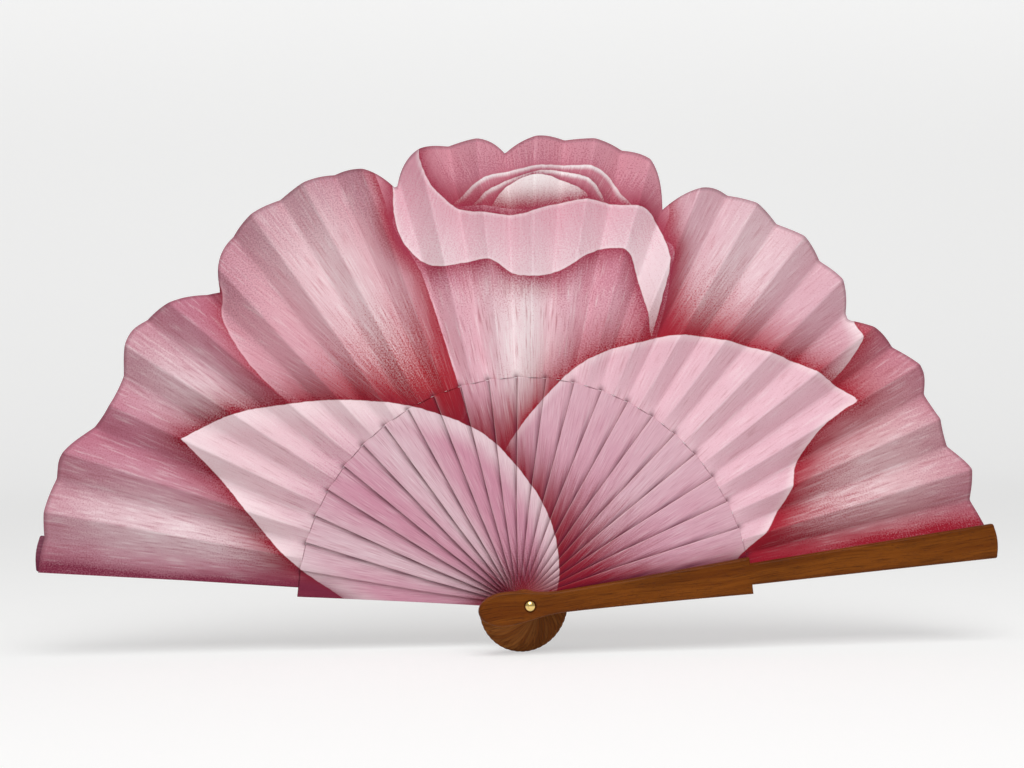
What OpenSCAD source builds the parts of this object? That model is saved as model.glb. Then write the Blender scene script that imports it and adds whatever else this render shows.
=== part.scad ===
// Hand fan: carved wooden guards and ribs on one rivet, with a pleated, painted cloth leaf.
// It stands upright and open: X across, Z up, -Y towards the viewer.
// The origin is on the rivet's axis, half way through the stack of sticks.

/* [Opening] */
// Angle between the two guards when the fan is fully open
opening = 167.2; // [120:0.1:170]

/* [Stack] */
// Thickness of one rib at the rivet
rib_t = 0.95; // [0.7:0.05:1.3]
// Free play between two neighbouring sticks
play = 0.25; // [0.15:0.01:0.5]
// Thickness of a guard
guard_t = 4; // [3:0.1:6]
// Depth by which a guard's blade is cut back to take the end of the leaf
leaf_recess = 0.95; // [0.7:0.05:1.2]

/* [Stick heads] */
// Length of a guard's head below the rivet
guard_head_len = 21.9; // [16:0.1:26]
// Half the greatest width of a guard's head
guard_head_half = 7.1; // [6:0.1:9]
// Length of a rib's head below the rivet
rib_head_len = 21.4; // [16:0.1:26]
// Half the greatest width of a rib's head
rib_head_half = 6.9; // [5.5:0.1:8.5]
// Distance from the rivet to the widest place of a head
head_drop = 10.5; // [8:0.1:13]

/* [Guards] */
// Distance from the rivet to a guard's waist
guard_waist_at = 13; // [9:0.1:18]
// Half the width of a guard at its waist
guard_waist_half = 4.6; // [3.8:0.1:5.8]
// Half the width of a guard's handle at its shoulder
guard_shoulder_half = 7.9; // [6.5:0.1:9]
// Half the width of a guard's blade where it leaves the shoulder
blade_root_half = 4.55; // [3.5:0.05:6]
// Half the width of a guard's blade at its tip
blade_tip_half = 7.6; // [6:0.1:9]
// Sideways shift of the blade from the handle's middle line
blade_shift = 0.6; // [0:0.1:1.2]
// Distance from the rivet to a guard's tip
tip_at = 208.8; // [180:0.1:260]
// How far the middle of the tip bulges past its corners
tip_bulge = 0.8; // [0.5:0.1:3]

/* [Ribs] */
// Distance from the rivet to the shoulders of the sticks, where the leaf begins
shoulder_at = 97; // [80:0.5:120]
// Distance from the rivet to a rib's waist
rib_waist_at = 11; // [8:0.1:16]
// Half the width of a rib at its waist
rib_waist_half = 3.5; // [2.8:0.1:4.5]
// Distance from the rivet to the bend in a rib's edge
rib_bend_at = 42; // [30:0.5:60]
// Half the width of a rib at the bend in its edge
rib_bend_half = 5.9; // [5:0.1:7]
// Half the width of a rib at its shoulder
rib_shoulder_half = 8.5; // [7:0.1:10]
// Thickness of the thin slat that carries the leaf
slat_t = 0.35; // [0.3:0.01:0.45]
// Half the width of the slat at the shoulder
slat_root_half = 2.5; // [1.5:0.1:3]
// Half the width of the slat at its tip
slat_tip_half = 2.2; // [1.5:0.1:3]
// Distance from the leaf's edge back to the slat's tip
slat_setback = 9; // [5:0.5:20]

/* [Leaf] */
// Thickness of the painted cloth
leaf_t = 0.25; // [0.15:0.01:0.3]
// Clearance between the cloth and what is behind it
leaf_gap = 0.1; // [0.05:0.01:0.15]
// Share of the angle between two sticks that the glued panel takes
glued_share = 0.55; // [0.45:0.01:0.65]
// Depth of a pleat for each millimetre from the rivet
pleat_rise = 0.045; // [0.02:0.001:0.05]
// Depth of a pleat at the leaf's inner edge
pleat_root = 1; // [0.5:0.1:1.5]
// Length over which a pleat grows to its full depth
pleat_grow = 18; // [10:1:30]
// How far the free panel bellies back
belly = 0.35; // [0:0.05:0.4]
// Cut between two pleats at a rear crease
crease_cut = 0.3; // [0.2:0.05:0.5]
// Gap between the shoulders and the leaf's inner edge
leaf_start_gap = 0.8; // [0.6:0.1:3]

/* [Leaf outline] */
// Lower right petal: middle angle, half its angle, crest radius, fall to the right, fall to the left
petal_lower_right = [10, 32, 205, 0, 20]; // [0:0.1:240]
// Upper right petal, in the same order
petal_upper_right = [57, 14, 200.5, 5, 26]; // [0:0.1:240]
// Right lobe of the middle flower, in the same order
petal_top_right = [81, 12, 202.5, 27, 10]; // [0:0.1:240]
// Left lobe of the middle flower, in the same order
petal_top_left = [99, 9.5, 201, 18, 32]; // [0:0.1:240]
// Upper left petal, in the same order
petal_upper_left = [120, 15, 203.5, 26, 23]; // [0:0.1:240]
// Lower left petal, in the same order
petal_lower_left = [161, 27, 207, 20, 0]; // [0:0.1:240]
// Hollow in the lower right petal's edge: middle angle, half its angle, depth
hollow_right = [22.3, 7, 5.5]; // [0:0.1:180]
// Hollow in the lower left petal's edge, in the same order
hollow_left = [153.2, 9.5, 11.3]; // [0:0.1:180]

/* [Rivet] */
// Radius of the rivet's shaft
rivet_r = 1.5; // [1:0.05:2]
// Radial clearance of the sticks on the shaft
rivet_fit = 0.05; // [0.02:0.01:0.1]
// Radius of the rivet's domed head
rivet_head_r = 2.45; // [2.1:0.05:3]
// Height of the rivet's domed head
rivet_head_h = 1.5; // [0.8:0.1:2]
// Depth of the seat that the rivet's head sits in
rivet_seat = 0.5; // [0.3:0.05:1]
// Radius of the washer behind the rear guard
washer_r = 3.2; // [2.8:0.1:4]
// Thickness of the washer
washer_t = 0.5; // [0.3:0.05:0.8]
// Radius of the pressed cap that closes the rivet
cap_r = 2.6; // [2.2:0.1:3.2]
// Thickness of the cap
cap_t = 0.7; // [0.5:0.05:1]
// Distance by which the cap lies below the rear guard's outer face
cap_sink = 0.1; // [0.05:0.05:0.3]
// Radial clearance round the head, the washer and the cap
seat_fit = 0.3; // [0.1:0.05:0.5]

/* [Hidden] */
$fn = 64;
ribs = 22;
sticks = ribs + 1;
pitch = opening / sticks;
first_angle = 90 - opening / 2;
layer = rib_t + play;
guard_inner = (ribs - 1) / 2 * layer + rib_t / 2 + play;
guard_outer = guard_inner + guard_t;
blade_inner = guard_inner + leaf_recess;
leaf_in = shoulder_at + leaf_start_gap;
leaf_back = slat_t / 2 + leaf_gap + leaf_t / 2;
strip_y = blade_inner - leaf_gap - leaf_t / 2;
half_glued = glued_share * pitch / 2;
// Sticks near a guard lean their pleats away from it, by this share of the depth for each stick
lean_step = 0.055;
lean_free = 9;
petals = [petal_lower_right, petal_upper_right, petal_top_right,
          petal_top_left, petal_upper_left, petal_lower_left];
hollows = [hollow_right, hollow_left];
grow_rows = [0, 0.25, 0.55, 1];
wood = "#97592f";
painted = "#c98ea2";
cloth = "#cf7f95";
brass = "#d9b54a";

function two(k) = str(k < 10 ? "0" : "", k);
function rib_name(k) = str("rib_", two(k));
function pleat_name(k) = str("leaf_pleat_", two(k));

// Stick k counts from the front guard, 0, to the rear guard
function angle(k) = first_angle + k * pitch;
function layer_y(k) = (k - sticks / 2) * layer;
function polar(r, a, y) = [r * cos(a), y, r * sin(a)];
function blend(a, b, t) = a + (b - a) * min(1, max(0, t));

// Outline of the leaf: the outermost petal at an angle, less the hollow in its edge
function petal_r(p, a) =
    let (t = (a - p[0]) / p[1])
    p[2] - (t < 0 ? p[3] : p[4]) * pow(t, 4);
function hollow_depth(h, a) =
    let (t = min(1, abs(a - h[0]) / h[1]))
    h[2] * pow(1 - t * t, 2);
function leaf_out(a) =
    max([for (p = petals) petal_r(p, a)]) - max([for (h = hollows) hollow_depth(h, a)]);

// Pleats: depth at a radius, and the front and rear creases of stick k's glued panel
function pleat_depth(r) =
    pleat_rise * r - (pleat_rise * leaf_in - pleat_root) * pow(1 - min(1, (r - leaf_in) / pleat_grow), 2);
function forward_share(k) =
    0.5 - lean_step * max(0, lean_free - k) + lean_step * max(0, k - (sticks - lean_free));
function ridge_y(k, r) =
    k == 0 ? -strip_y : layer_y(k) - leaf_back - forward_share(k) * pleat_depth(r);
function valley_y(k, r) =
    k == 0 ? -strip_y
    : k == sticks ? strip_y
    : layer_y(k) - leaf_back + (1 - forward_share(k)) * pleat_depth(r);
function panel_y(k, r, side) = blend(valley_y(k, r), ridge_y(k, r), (side + 1) / 2);

// Half the width of a stick at a distance x from the rivet
function head_half(x, half, len) =
    half * sqrt(max(0, 1 - pow((x + head_drop) / (len - head_drop), 2)));
function neck_half(x, half, waist, waist_at) =
    blend(waist, half, 0.5 + 0.5 * cos(180 * min(1, (x + head_drop) / (waist_at + head_drop))));
function guard_half(x) =
    x < -head_drop ? head_half(x, guard_head_half, guard_head_len)
    : x < guard_waist_at ? neck_half(x, guard_head_half, guard_waist_half, guard_waist_at)
    : blend(guard_waist_half, guard_shoulder_half,
            pow((x - guard_waist_at) / (shoulder_at - guard_waist_at), 1.25));
function rib_half(x) =
    x < -head_drop ? head_half(x, rib_head_half, rib_head_len)
    : x < rib_waist_at ? neck_half(x, rib_head_half, rib_waist_half, rib_waist_at)
    : x < rib_bend_at ? blend(rib_waist_half, rib_bend_half,
                              (x - rib_waist_at) / (rib_bend_at - rib_waist_at))
    : blend(rib_bend_half, rib_shoulder_half, (x - rib_bend_at) / (shoulder_at - rib_bend_at));
function blade_half(x) =
    blend(blade_root_half, blade_tip_half, (x - shoulder_at) / (tip_at - shoulder_at));
function head_xs(len) =
    [for (a = [0:9:90]) -head_drop - (len - head_drop) * cos(a)];
function both_sides(points) =
    concat(points, [for (i = [len(points) - 1:-1:0]) [points[i][0], -points[i][1]]]);

module plate(thickness, middle) {
    translate([0, middle, 0])
        rotate([90, 0, 0])
            linear_extrude(height = thickness, center = true)
                children();
}

module on_stick(k) {
    rotate([0, -angle(k), 0])
        children();
}

module along_rivet(r, from_y, to_y) {
    translate([0, to_y, 0])
        rotate([90, 0, 0])
            cylinder(r = r, h = to_y - from_y);
}

// Closed sheet through rows of points, given its thickness along Y
module sheet(rows, thickness) {
    n = len(rows[0]);
    m = len(rows);
    flat = [for (row = rows) for (p = row) p];
    off = [0, thickness / 2, 0];
    points = concat([for (p = flat) p - off], [for (p = flat) p + off]);
    back = n * m;
    rim = concat([for (i = [0:n - 1]) i], [for (j = [1:m - 1]) j * n + n - 1],
                 [for (i = [n - 2:-1:0]) (m - 1) * n + i], [for (j = [m - 2:-1:1]) j * n]);
    faces = concat(
        [for (j = [0:m - 2]) for (i = [0:n - 2]) let (a = j * n + i) [a, a + 1, a + n]],
        [for (j = [0:m - 2]) for (i = [0:n - 2]) let (a = j * n + i) [a + 1, a + n + 1, a + n]],
        [for (j = [0:m - 2]) for (i = [0:n - 2]) let (a = back + j * n + i) [a, a + n, a + 1]],
        [for (j = [0:m - 2]) for (i = [0:n - 2]) let (a = back + j * n + i) [a + 1, a + n, a + n + 1]],
        [for (i = [0:len(rim) - 1]) let (a = rim[i], b = rim[(i + 1) % len(rim)]) [b, a, a + back]],
        [for (i = [0:len(rim) - 1]) let (a = rim[i], b = rim[(i + 1) % len(rim)]) [b, a + back, b + back]]);
    polyhedron(points = points, faces = faces, convexity = 6);
}

// Radii of the rows of a sheet that ends at a given radius
function row_radii(end) = concat([for (g = grow_rows) leaf_in + g * pleat_grow], [end]);

module guard_handle_2d() {
    xs = concat(head_xs(guard_head_len), [for (i = [1:12]) blend(-head_drop, guard_waist_at, i / 12)],
                [for (i = [1:10]) blend(guard_waist_at, shoulder_at, i / 10)]);
    polygon(both_sides([for (x = xs) [x, guard_half(x)]]));
}

module guard_blade_2d() {
    root = shoulder_at - 1;
    translate([0, blade_shift])
        polygon(concat([[root, blade_root_half]],
                       [for (i = [-8:8]) let (t = -i / 8) [tip_at - tip_bulge * pow(t, 2), blade_tip_half * t]],
                       [[root, -blade_root_half]]));
}

// A guard as seen from its outer face; side is -1 in front and 1 at the rear
module guard(side) {
    handle_mid = side * (guard_inner + guard_outer) / 2;
    blade_mid = side * (blade_inner + guard_outer) / 2;
    plate(guard_t, handle_mid) guard_handle_2d();
    plate(guard_outer - blade_inner, blade_mid) guard_blade_2d();
}

module front_guard() {
    color(wood)
        difference() {
            on_stick(0) guard(-1);
            along_rivet(rivet_r + rivet_fit, -guard_outer - 1, -guard_inner + 1);
            along_rivet(rivet_head_r + seat_fit, -guard_outer - 1, -guard_outer + rivet_seat);
        }
}

module rear_guard() {
    seat_depth = washer_t + cap_t + cap_sink;
    color(wood)
        difference() {
            on_stick(sticks) mirror([0, 0, 1]) guard(1);
            along_rivet(rivet_r + rivet_fit, guard_inner - 1, guard_outer + 1);
            along_rivet(washer_r + seat_fit, guard_outer - seat_depth, guard_outer + 1);
        }
}

module rib_shank_2d() {
    xs = concat(head_xs(rib_head_len), [for (i = [1:12]) blend(-head_drop, rib_waist_at, i / 12)],
                [rib_bend_at, shoulder_at]);
    polygon(both_sides([for (x = xs) [x, rib_half(x)]]));
}

// Thin slat behind stick k's glued panel, which it follows in tilt and lean
module slat(k) {
    end = min([for (s = [-1:0.5:1]) leaf_out(angle(k) + s * half_glued)]) - slat_setback;
    root = shoulder_at - 1;
    function side_at(r, s) = s * asin(blend(slat_root_half, slat_tip_half, (r - root) / (end - root)) / r);
    function row(r) = [for (s = [-1, 0, 1])
        polar(r, angle(k) + side_at(r, s), panel_y(k, r, side_at(r, s) / half_glued) + leaf_back)];
    flat_row = [for (s = [-1, 0, 1]) polar(root, angle(k) + side_at(root, s), layer_y(k))];
    sheet(concat([flat_row], [for (r = row_radii(end)) row(r)]), slat_t);
}

module rib(k) {
    color(painted)
        difference() {
            union() {
                on_stick(k) plate(rib_t, layer_y(k)) rib_shank_2d();
                slat(k);
            }
            along_rivet(rivet_r + rivet_fit, layer_y(k) - rib_t, layer_y(k) + rib_t);
        }
}

// Glued panel of stick k and the free panel that folds on to the next stick
module leaf_pleat(k) {
    ridge = angle(k) + half_glued;
    valley = angle(k + 1) - half_glued;
    cut = crease_cut / 2;
    function glued(r, t) =
        let (from = angle(k) - half_glued + asin(cut / r), a = blend(from, ridge, t))
        polar(r, a, panel_y(k, r, (a - angle(k)) / half_glued));
    function free(r, t) =
        let (to = valley - asin(cut / r), a = blend(ridge, to, t), u = (a - ridge) / (valley - ridge))
        polar(r, a, blend(ridge_y(k, r), valley_y(k + 1, r), u) + belly * 4 * u * (1 - u));
    function column_end(t) = leaf_out(t < 0 ? blend(ridge, angle(k) - half_glued, -t) : blend(ridge, valley, t));
    function row(j) = [for (t = [-1, -0.75, -0.5, -0.25, 0, 0.33, 0.67, 1])
        let (r = row_radii(column_end(t))[j])
        t < 0 ? glued(r, 1 + t) : free(r, t)];
    color(cloth)
        sheet([for (j = [0:len(grow_rows)]) row(j)], leaf_t);
}

// Last panel of the leaf, glued over the inner face of the rear guard's blade
module leaf_end() {
    from = -half_glued;
    function edge(r) = asin((blade_half(r) - blade_shift) / r);
    function row(j) = [for (t = [0:0.25:1])
        let (last = row_radii(leaf_out(angle(sticks) + from + t * 2 * half_glued))[j],
             r = min(last, tip_at - tip_bulge),
             a = blend(from + asin(crease_cut / 2 / r), edge(r), t))
        polar(r, angle(sticks) + a, strip_y)];
    color(cloth)
        sheet([for (j = [0:len(grow_rows)]) row(j)], leaf_t);
}

module rivet_pin() {
    dome_r = (pow(rivet_head_r, 2) + pow(rivet_head_h, 2)) / (2 * rivet_head_h);
    head_y = -guard_outer + rivet_seat;
    color(brass) {
        along_rivet(rivet_r, head_y, guard_outer - cap_sink);
        intersection() {
            translate([0, head_y + dome_r - rivet_head_h, 0]) rotate([90, 0, 0]) sphere(r = dome_r);
            along_rivet(rivet_head_r + 1, head_y - rivet_head_h - 1, head_y);
        }
    }
}

module rivet_ring(r, hole_r, from_y, thickness) {
    difference() {
        along_rivet(r, from_y, from_y + thickness);
        along_rivet(hole_r, from_y - 1, from_y + thickness + 1);
    }
}

module rivet_washer() {
    color(brass)
        rivet_ring(washer_r, rivet_r + rivet_fit, guard_outer - cap_sink - cap_t - washer_t, washer_t);
}

module rivet_cap() {
    color(brass)
        rivet_ring(cap_r, rivet_r, guard_outer - cap_sink - cap_t, cap_t);
}

front_guard();
rear_guard();
for (k = [1:ribs]) rib(k);
rivet_pin();
rivet_washer();
rivet_cap();
leaf_pleat(0);  // leaf_start
for (k = [1:ribs]) leaf_pleat(k);
leaf_end();
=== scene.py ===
"""A folding hand fan, open: carved guards, painted ribs, a brass rivet and a pleated cloth leaf."""

import logging
import math
from dataclasses import dataclass
from enum import Enum
from typing import Sequence, Union

import bmesh
import bpy
import numpy as np
from mathutils import Matrix, Vector


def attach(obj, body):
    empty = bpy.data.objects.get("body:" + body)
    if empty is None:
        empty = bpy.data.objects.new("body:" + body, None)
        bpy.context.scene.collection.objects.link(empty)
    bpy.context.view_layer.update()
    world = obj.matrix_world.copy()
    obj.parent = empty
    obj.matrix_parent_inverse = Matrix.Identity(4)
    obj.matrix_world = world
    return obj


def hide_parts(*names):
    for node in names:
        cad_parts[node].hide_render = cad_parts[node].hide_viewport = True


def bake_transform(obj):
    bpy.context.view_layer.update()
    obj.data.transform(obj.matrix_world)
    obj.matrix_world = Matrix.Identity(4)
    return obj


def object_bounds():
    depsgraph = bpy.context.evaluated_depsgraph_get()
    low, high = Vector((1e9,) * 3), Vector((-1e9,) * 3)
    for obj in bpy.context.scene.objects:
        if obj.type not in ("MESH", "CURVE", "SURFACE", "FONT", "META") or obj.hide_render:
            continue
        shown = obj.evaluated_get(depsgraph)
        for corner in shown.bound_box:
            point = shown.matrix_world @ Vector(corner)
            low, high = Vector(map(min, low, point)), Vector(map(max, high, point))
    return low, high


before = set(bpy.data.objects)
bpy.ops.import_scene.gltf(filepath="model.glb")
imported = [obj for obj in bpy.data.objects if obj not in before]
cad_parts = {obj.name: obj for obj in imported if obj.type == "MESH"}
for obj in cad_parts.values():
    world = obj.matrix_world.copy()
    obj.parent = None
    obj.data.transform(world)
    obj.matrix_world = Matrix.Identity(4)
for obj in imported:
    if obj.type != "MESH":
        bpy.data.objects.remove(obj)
CAD_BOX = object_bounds()

MM = 0.001
log = logging.getLogger("hand_fan")

Array = np.ndarray
Colour = tuple[float, float, float, float]
Feed = Union[float, Sequence[float], bpy.types.NodeSocket]


def paint(code: str) -> Colour:
    """Turn a colour code into the linear colour that a shader takes.

    Args:
        code: Six hexadecimal digits, two each for red, green and blue.

    Returns:
        The linear colour with full cover.
    """
    parts = [int(code[i:i + 2], 16) / 255 for i in (0, 2, 4)]
    linear = [p / 12.92 if p <= 0.04045 else ((p + 0.055) / 1.055) ** 2.4 for p in parts]
    return linear[0], linear[1], linear[2], 1.0


# ---------------------------------------------------------------- sizes of the fan


@dataclass(frozen=True)
class Lobe:
    """One lobe of the leaf's cut edge: its crest at an angle, and how far it falls to each side."""

    middle: float
    half: float
    crest: float
    fall_right: float
    fall_left: float

    def radius(self, angle: Array) -> Array:
        """Give the lobe's distance from the rivet at angles in degrees."""
        t = (angle - self.middle) / self.half
        return self.crest - np.where(t < 0, self.fall_right, self.fall_left) * t ** 4


LOBES = (
    Lobe(10, 32, 205 * MM, 0 * MM, 20 * MM),
    Lobe(57, 14, 200.5 * MM, 5 * MM, 26 * MM),
    Lobe(81, 12, 202.5 * MM, 27 * MM, 10 * MM),
    Lobe(99, 9.5, 201 * MM, 18 * MM, 32 * MM),
    Lobe(120, 15, 203.5 * MM, 26 * MM, 23 * MM),
    Lobe(161, 27, 207 * MM, 20 * MM, 0 * MM),
)


@dataclass(frozen=True)
class Hollow:
    """A shallow hollow in a lobe's cut edge: its middle angle, half its angle and its depth."""

    middle: float
    half: float
    deep: float

    def depth(self, angle: Array) -> Array:
        """Give how far the edge falls back at angles in degrees."""
        t = np.minimum(1, np.abs(angle - self.middle) / self.half)
        return self.deep * (1 - t ** 2) ** 2


HOLLOWS = (Hollow(22.3, 7, 5.5 * MM), Hollow(153.2, 9.5, 11.3 * MM))


@dataclass(frozen=True)
class FanPlan:
    """Sizes that the sticks and the leaf share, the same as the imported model's, with angles in degrees."""

    opening: float = 167.2
    ribs: int = 22
    rib_t: float = 0.95 * MM
    play: float = 0.25 * MM
    guard_t: float = 4 * MM
    leaf_recess: float = 0.95 * MM
    blade_root_half: float = 4.55 * MM
    blade_tip_half: float = 7.6 * MM
    blade_shift: float = 0.6 * MM
    bore: float = 1.55 * MM
    head_drop: float = 10.5 * MM
    shoulder_at: float = 97 * MM
    tip_at: float = 208.8 * MM
    tip_bulge: float = 0.8 * MM
    slat_t: float = 0.35 * MM
    slat_root_half: float = 2.5 * MM
    slat_tip_half: float = 2.2 * MM
    slat_setback: float = 9 * MM
    slat_taper: float = 0.13 * MM
    leaf_t: float = 0.25 * MM
    leaf_gap: float = 0.1 * MM
    leaf_in: float = 97.14 * MM
    glued_share: float = 0.55
    pleat_rise: float = 0.045
    pleat_root: float = 1 * MM
    pleat_grow: float = 18 * MM
    pleat_from: float = 97.8 * MM
    belly: float = 0.35 * MM
    notch: float = 1.1 * MM
    lean_step: float = 0.055
    lean_free: int = 9

    @property
    def sticks(self) -> int:
        """The rear guard's number; the front guard is stick 0."""
        return self.ribs + 1

    @property
    def pitch(self) -> float:
        """Angle between two neighbouring sticks."""
        return self.opening / self.sticks

    @property
    def half_glued(self) -> float:
        """Half the angle that a glued panel takes."""
        return self.glued_share * self.pitch / 2

    @property
    def glued_width(self) -> float:
        """The angle that a glued panel takes."""
        return 2 * self.half_glued

    @property
    def free_width(self) -> float:
        """The angle that a free panel takes, between two glued ones."""
        return self.pitch - 2 * self.half_glued

    @property
    def layer(self) -> float:
        """Distance between two neighbouring sticks along the rivet."""
        return self.rib_t + self.play

    @property
    def guard_inner(self) -> float:
        """Distance from the middle of the stack to a guard's inner face."""
        return (self.ribs - 1) / 2 * self.layer + self.rib_t / 2 + self.play

    @property
    def guard_outer(self) -> float:
        """Distance from the middle of the stack to a guard's outer face."""
        return self.guard_inner + self.guard_t

    @property
    def blade_inner(self) -> float:
        """Distance from the middle of the stack to the inner face of a guard's blade."""
        return self.guard_inner + self.leaf_recess

    @property
    def strip_y(self) -> float:
        """Distance from the middle of the stack to a panel that is glued to a blade."""
        return self.blade_inner - self.leaf_gap - self.leaf_t / 2

    @property
    def leaf_back(self) -> float:
        """Distance from the middle of the cloth back to the middle of its slat."""
        return self.slat_t / 2 + self.leaf_gap + self.leaf_t / 2

    def angle(self, stick: float) -> float:
        """Give a stick's angle from the level, counted from the front guard's side."""
        return 90 - self.opening / 2 + stick * self.pitch

    def blade_half(self, x: Array) -> Array:
        """Give half the width of a guard's blade at distances from the rivet."""
        share = (x - self.shoulder_at) / (self.tip_at - self.shoulder_at)
        return self.blade_root_half + (self.blade_tip_half - self.blade_root_half) * share

    def layer_y(self, stick: int) -> float:
        """Give the place of a stick's middle along the rivet."""
        return (stick - self.sticks / 2) * self.layer

    def leaf_out(self, angle: Array) -> Array:
        """Give the radius of the leaf's cut edge at angles in degrees.

        Args:
            angle: Angles from the level, in degrees.

        Returns:
            The edge's distance from the rivet at each angle.
        """
        angle = np.asarray(angle, float)
        crest = np.max([lobe.radius(angle) for lobe in LOBES], axis=0)
        return crest - np.max([hollow.depth(angle) for hollow in HOLLOWS], axis=0)

    def cut_edge(self, angle: Array) -> Array:
        """Give the radius of the cut edge, with the small notch that it has at each rear crease.

        Args:
            angle: Angles from the level, in degrees.

        Returns:
            The edge's distance from the rivet at each angle.
        """
        angle = np.asarray(angle, float)
        share = ((angle - self.angle(0) + self.half_glued) % self.pitch) / self.pitch
        return self.leaf_out(angle) - self.notch * (1 - np.sin(math.pi * share))

    def pleat_depth(self, r: Array) -> Array:
        """Give the depth of a pleat at distances from the rivet."""
        short = 1 - np.minimum(1, (r - self.pleat_from) / self.pleat_grow)
        return self.pleat_rise * r - (self.pleat_rise * self.pleat_from - self.pleat_root) * short ** 2

    def forward_share(self, stick: int) -> float:
        """Give the share of a pleat's depth that stands in front of its slat."""
        lean = max(0, stick - (self.sticks - self.lean_free)) - max(0, self.lean_free - stick)
        return 0.5 + self.lean_step * lean

    def ridge_y(self, stick: int, r: Array) -> Array:
        """Give the place along the rivet of a stick's front crease.

        Args:
            stick: The stick's number.
            r: Distances from the rivet.

        Returns:
            The place at each distance.
        """
        if stick == 0:
            return np.full_like(r, -self.strip_y)
        return self.layer_y(stick) - self.leaf_back - self.forward_share(stick) * self.pleat_depth(r)

    def valley_y(self, stick: int, r: Array) -> Array:
        """Give the place along the rivet of the rear crease before a stick.

        Args:
            stick: The stick's number.
            r: Distances from the rivet.

        Returns:
            The place at each distance.
        """
        if stick in (0, self.sticks):
            return np.full_like(r, -self.strip_y if stick == 0 else self.strip_y)
        back = (1 - self.forward_share(stick)) * self.pleat_depth(r)
        return self.layer_y(stick) - self.leaf_back + back


def polar(r: Array, angle: Array, y: Array) -> Array:
    """Place points at distances and angles (in degrees) from the rivet.

    Args:
        r: Distances from the rivet's axis.
        angle: Angles from the level, in degrees.
        y: Places along the rivet.

    Returns:
        One row of x, y and z for each point.
    """
    turn = np.radians(angle)
    return np.stack(np.broadcast_arrays(r * np.cos(turn), y, r * np.sin(turn)), axis=-1)


def swung(points: Array, angle: float) -> Array:
    """Swing points about the rivet's axis.

    Args:
        points: One row of x, y and z for each point.
        angle: How far to swing them up from the level, in degrees.

    Returns:
        The swung points.
    """
    turn = math.radians(angle)
    x = points[:, 0] * math.cos(turn) - points[:, 2] * math.sin(turn)
    z = points[:, 0] * math.sin(turn) + points[:, 2] * math.cos(turn)
    return np.stack([x, points[:, 1], z], axis=1)


def ease(t: Array) -> Array:
    """Go from 0 to 1 with level ends."""
    t = np.clip(t, 0, 1)
    return t * t * (3 - 2 * t)


def tube_faces(rings: int, size: int) -> list[tuple[int, ...]]:
    """Join rings of points into a tube.

    Args:
        rings: Number of rings.
        size: Number of points in each ring.

    Returns:
        The point numbers of each four-sided face.
    """
    return [(j * size + i, j * size + (i + 1) % size, (j + 1) * size + (i + 1) % size, (j + 1) * size + i)
            for j in range(rings - 1) for i in range(size)]


# ---------------------------------------------------------------- meshes


JOINED = 0.002 * MM  # points that are closer than this become one
SLIVER = 0.001 * MM  # edges that are shorter than this go


def make_mesh(name: str, points: Array, faces: Sequence[Sequence[int]]) -> bpy.types.Object:
    """Make an object from points and faces, with doubled points joined and its faces turned outwards.

    Args:
        name: The piece's name.
        points: One row of x, y and z for each point, in metres.
        faces: The point numbers of each face.

    Returns:
        The new object.
    """
    mesh = bpy.data.meshes.new(name)
    mesh.from_pydata([tuple(p) for p in points], [], [tuple(f) for f in faces])
    work = bmesh.new()
    work.from_mesh(mesh)
    bmesh.ops.remove_doubles(work, verts=work.verts, dist=JOINED)
    bmesh.ops.dissolve_degenerate(work, edges=work.edges, dist=SLIVER)
    bmesh.ops.recalc_face_normals(work, faces=work.faces)
    work.to_mesh(mesh)
    work.free()
    piece = bpy.data.objects.new(name, mesh)
    bpy.context.scene.collection.objects.link(piece)
    return piece


def soften(piece: bpy.types.Object, sharp_from: float = 40) -> None:
    """Shade a piece smoothly, but keep edges sharp that turn by more than an angle in degrees."""
    piece.data.polygons.foreach_set("use_smooth", [True] * len(piece.data.polygons))
    piece.data.set_sharp_from_angle(angle=math.radians(sharp_from))


def drill(piece: bpy.types.Object, holes: Sequence[tuple[float, float, float]], step: float = 7.5) -> None:
    """Cut round holes along the rivet's axis.

    Args:
        piece: The piece to drill.
        holes: The radius and the two ends along the rivet of each hole.
        step: The angle between two points of a hole's edge, in degrees.
    """
    for radius, from_y, to_y in holes:
        ring = np.radians(np.arange(0, 360, step))
        count = len(ring)
        rows = [np.stack([radius * np.cos(ring), np.full(count, y), radius * np.sin(ring)], axis=1)
                for y in (from_y, to_y)]
        sides = [(i, (i + 1) % count, count + (i + 1) % count, count + i) for i in range(count)]
        caps = [tuple(range(count)), tuple(range(2 * count - 1, count - 1, -1))]
        cutter = make_mesh("cutter", np.concatenate(rows), sides + caps)
        cut = piece.modifiers.new("hole", "BOOLEAN")
        cut.object, cut.operation, cut.solver = cutter, "DIFFERENCE", "EXACT"
        graph = bpy.context.evaluated_depsgraph_get()
        drilled = bpy.data.meshes.new_from_object(piece.evaluated_get(graph))
        piece.modifiers.clear()
        old, piece.data = piece.data, drilled
        bpy.data.meshes.remove(old)
        bpy.data.meshes.remove(cutter.data)


def corners_of(piece: bpy.types.Object) -> Array:
    """Give a piece's points, one row of x, y and z each.

    Args:
        piece: The piece.

    Returns:
        The points, in metres.
    """
    flat = np.zeros(len(piece.data.vertices) * 3, np.float32)
    piece.data.vertices.foreach_get("co", flat)
    return flat.reshape(-1, 3).astype(float)


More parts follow.
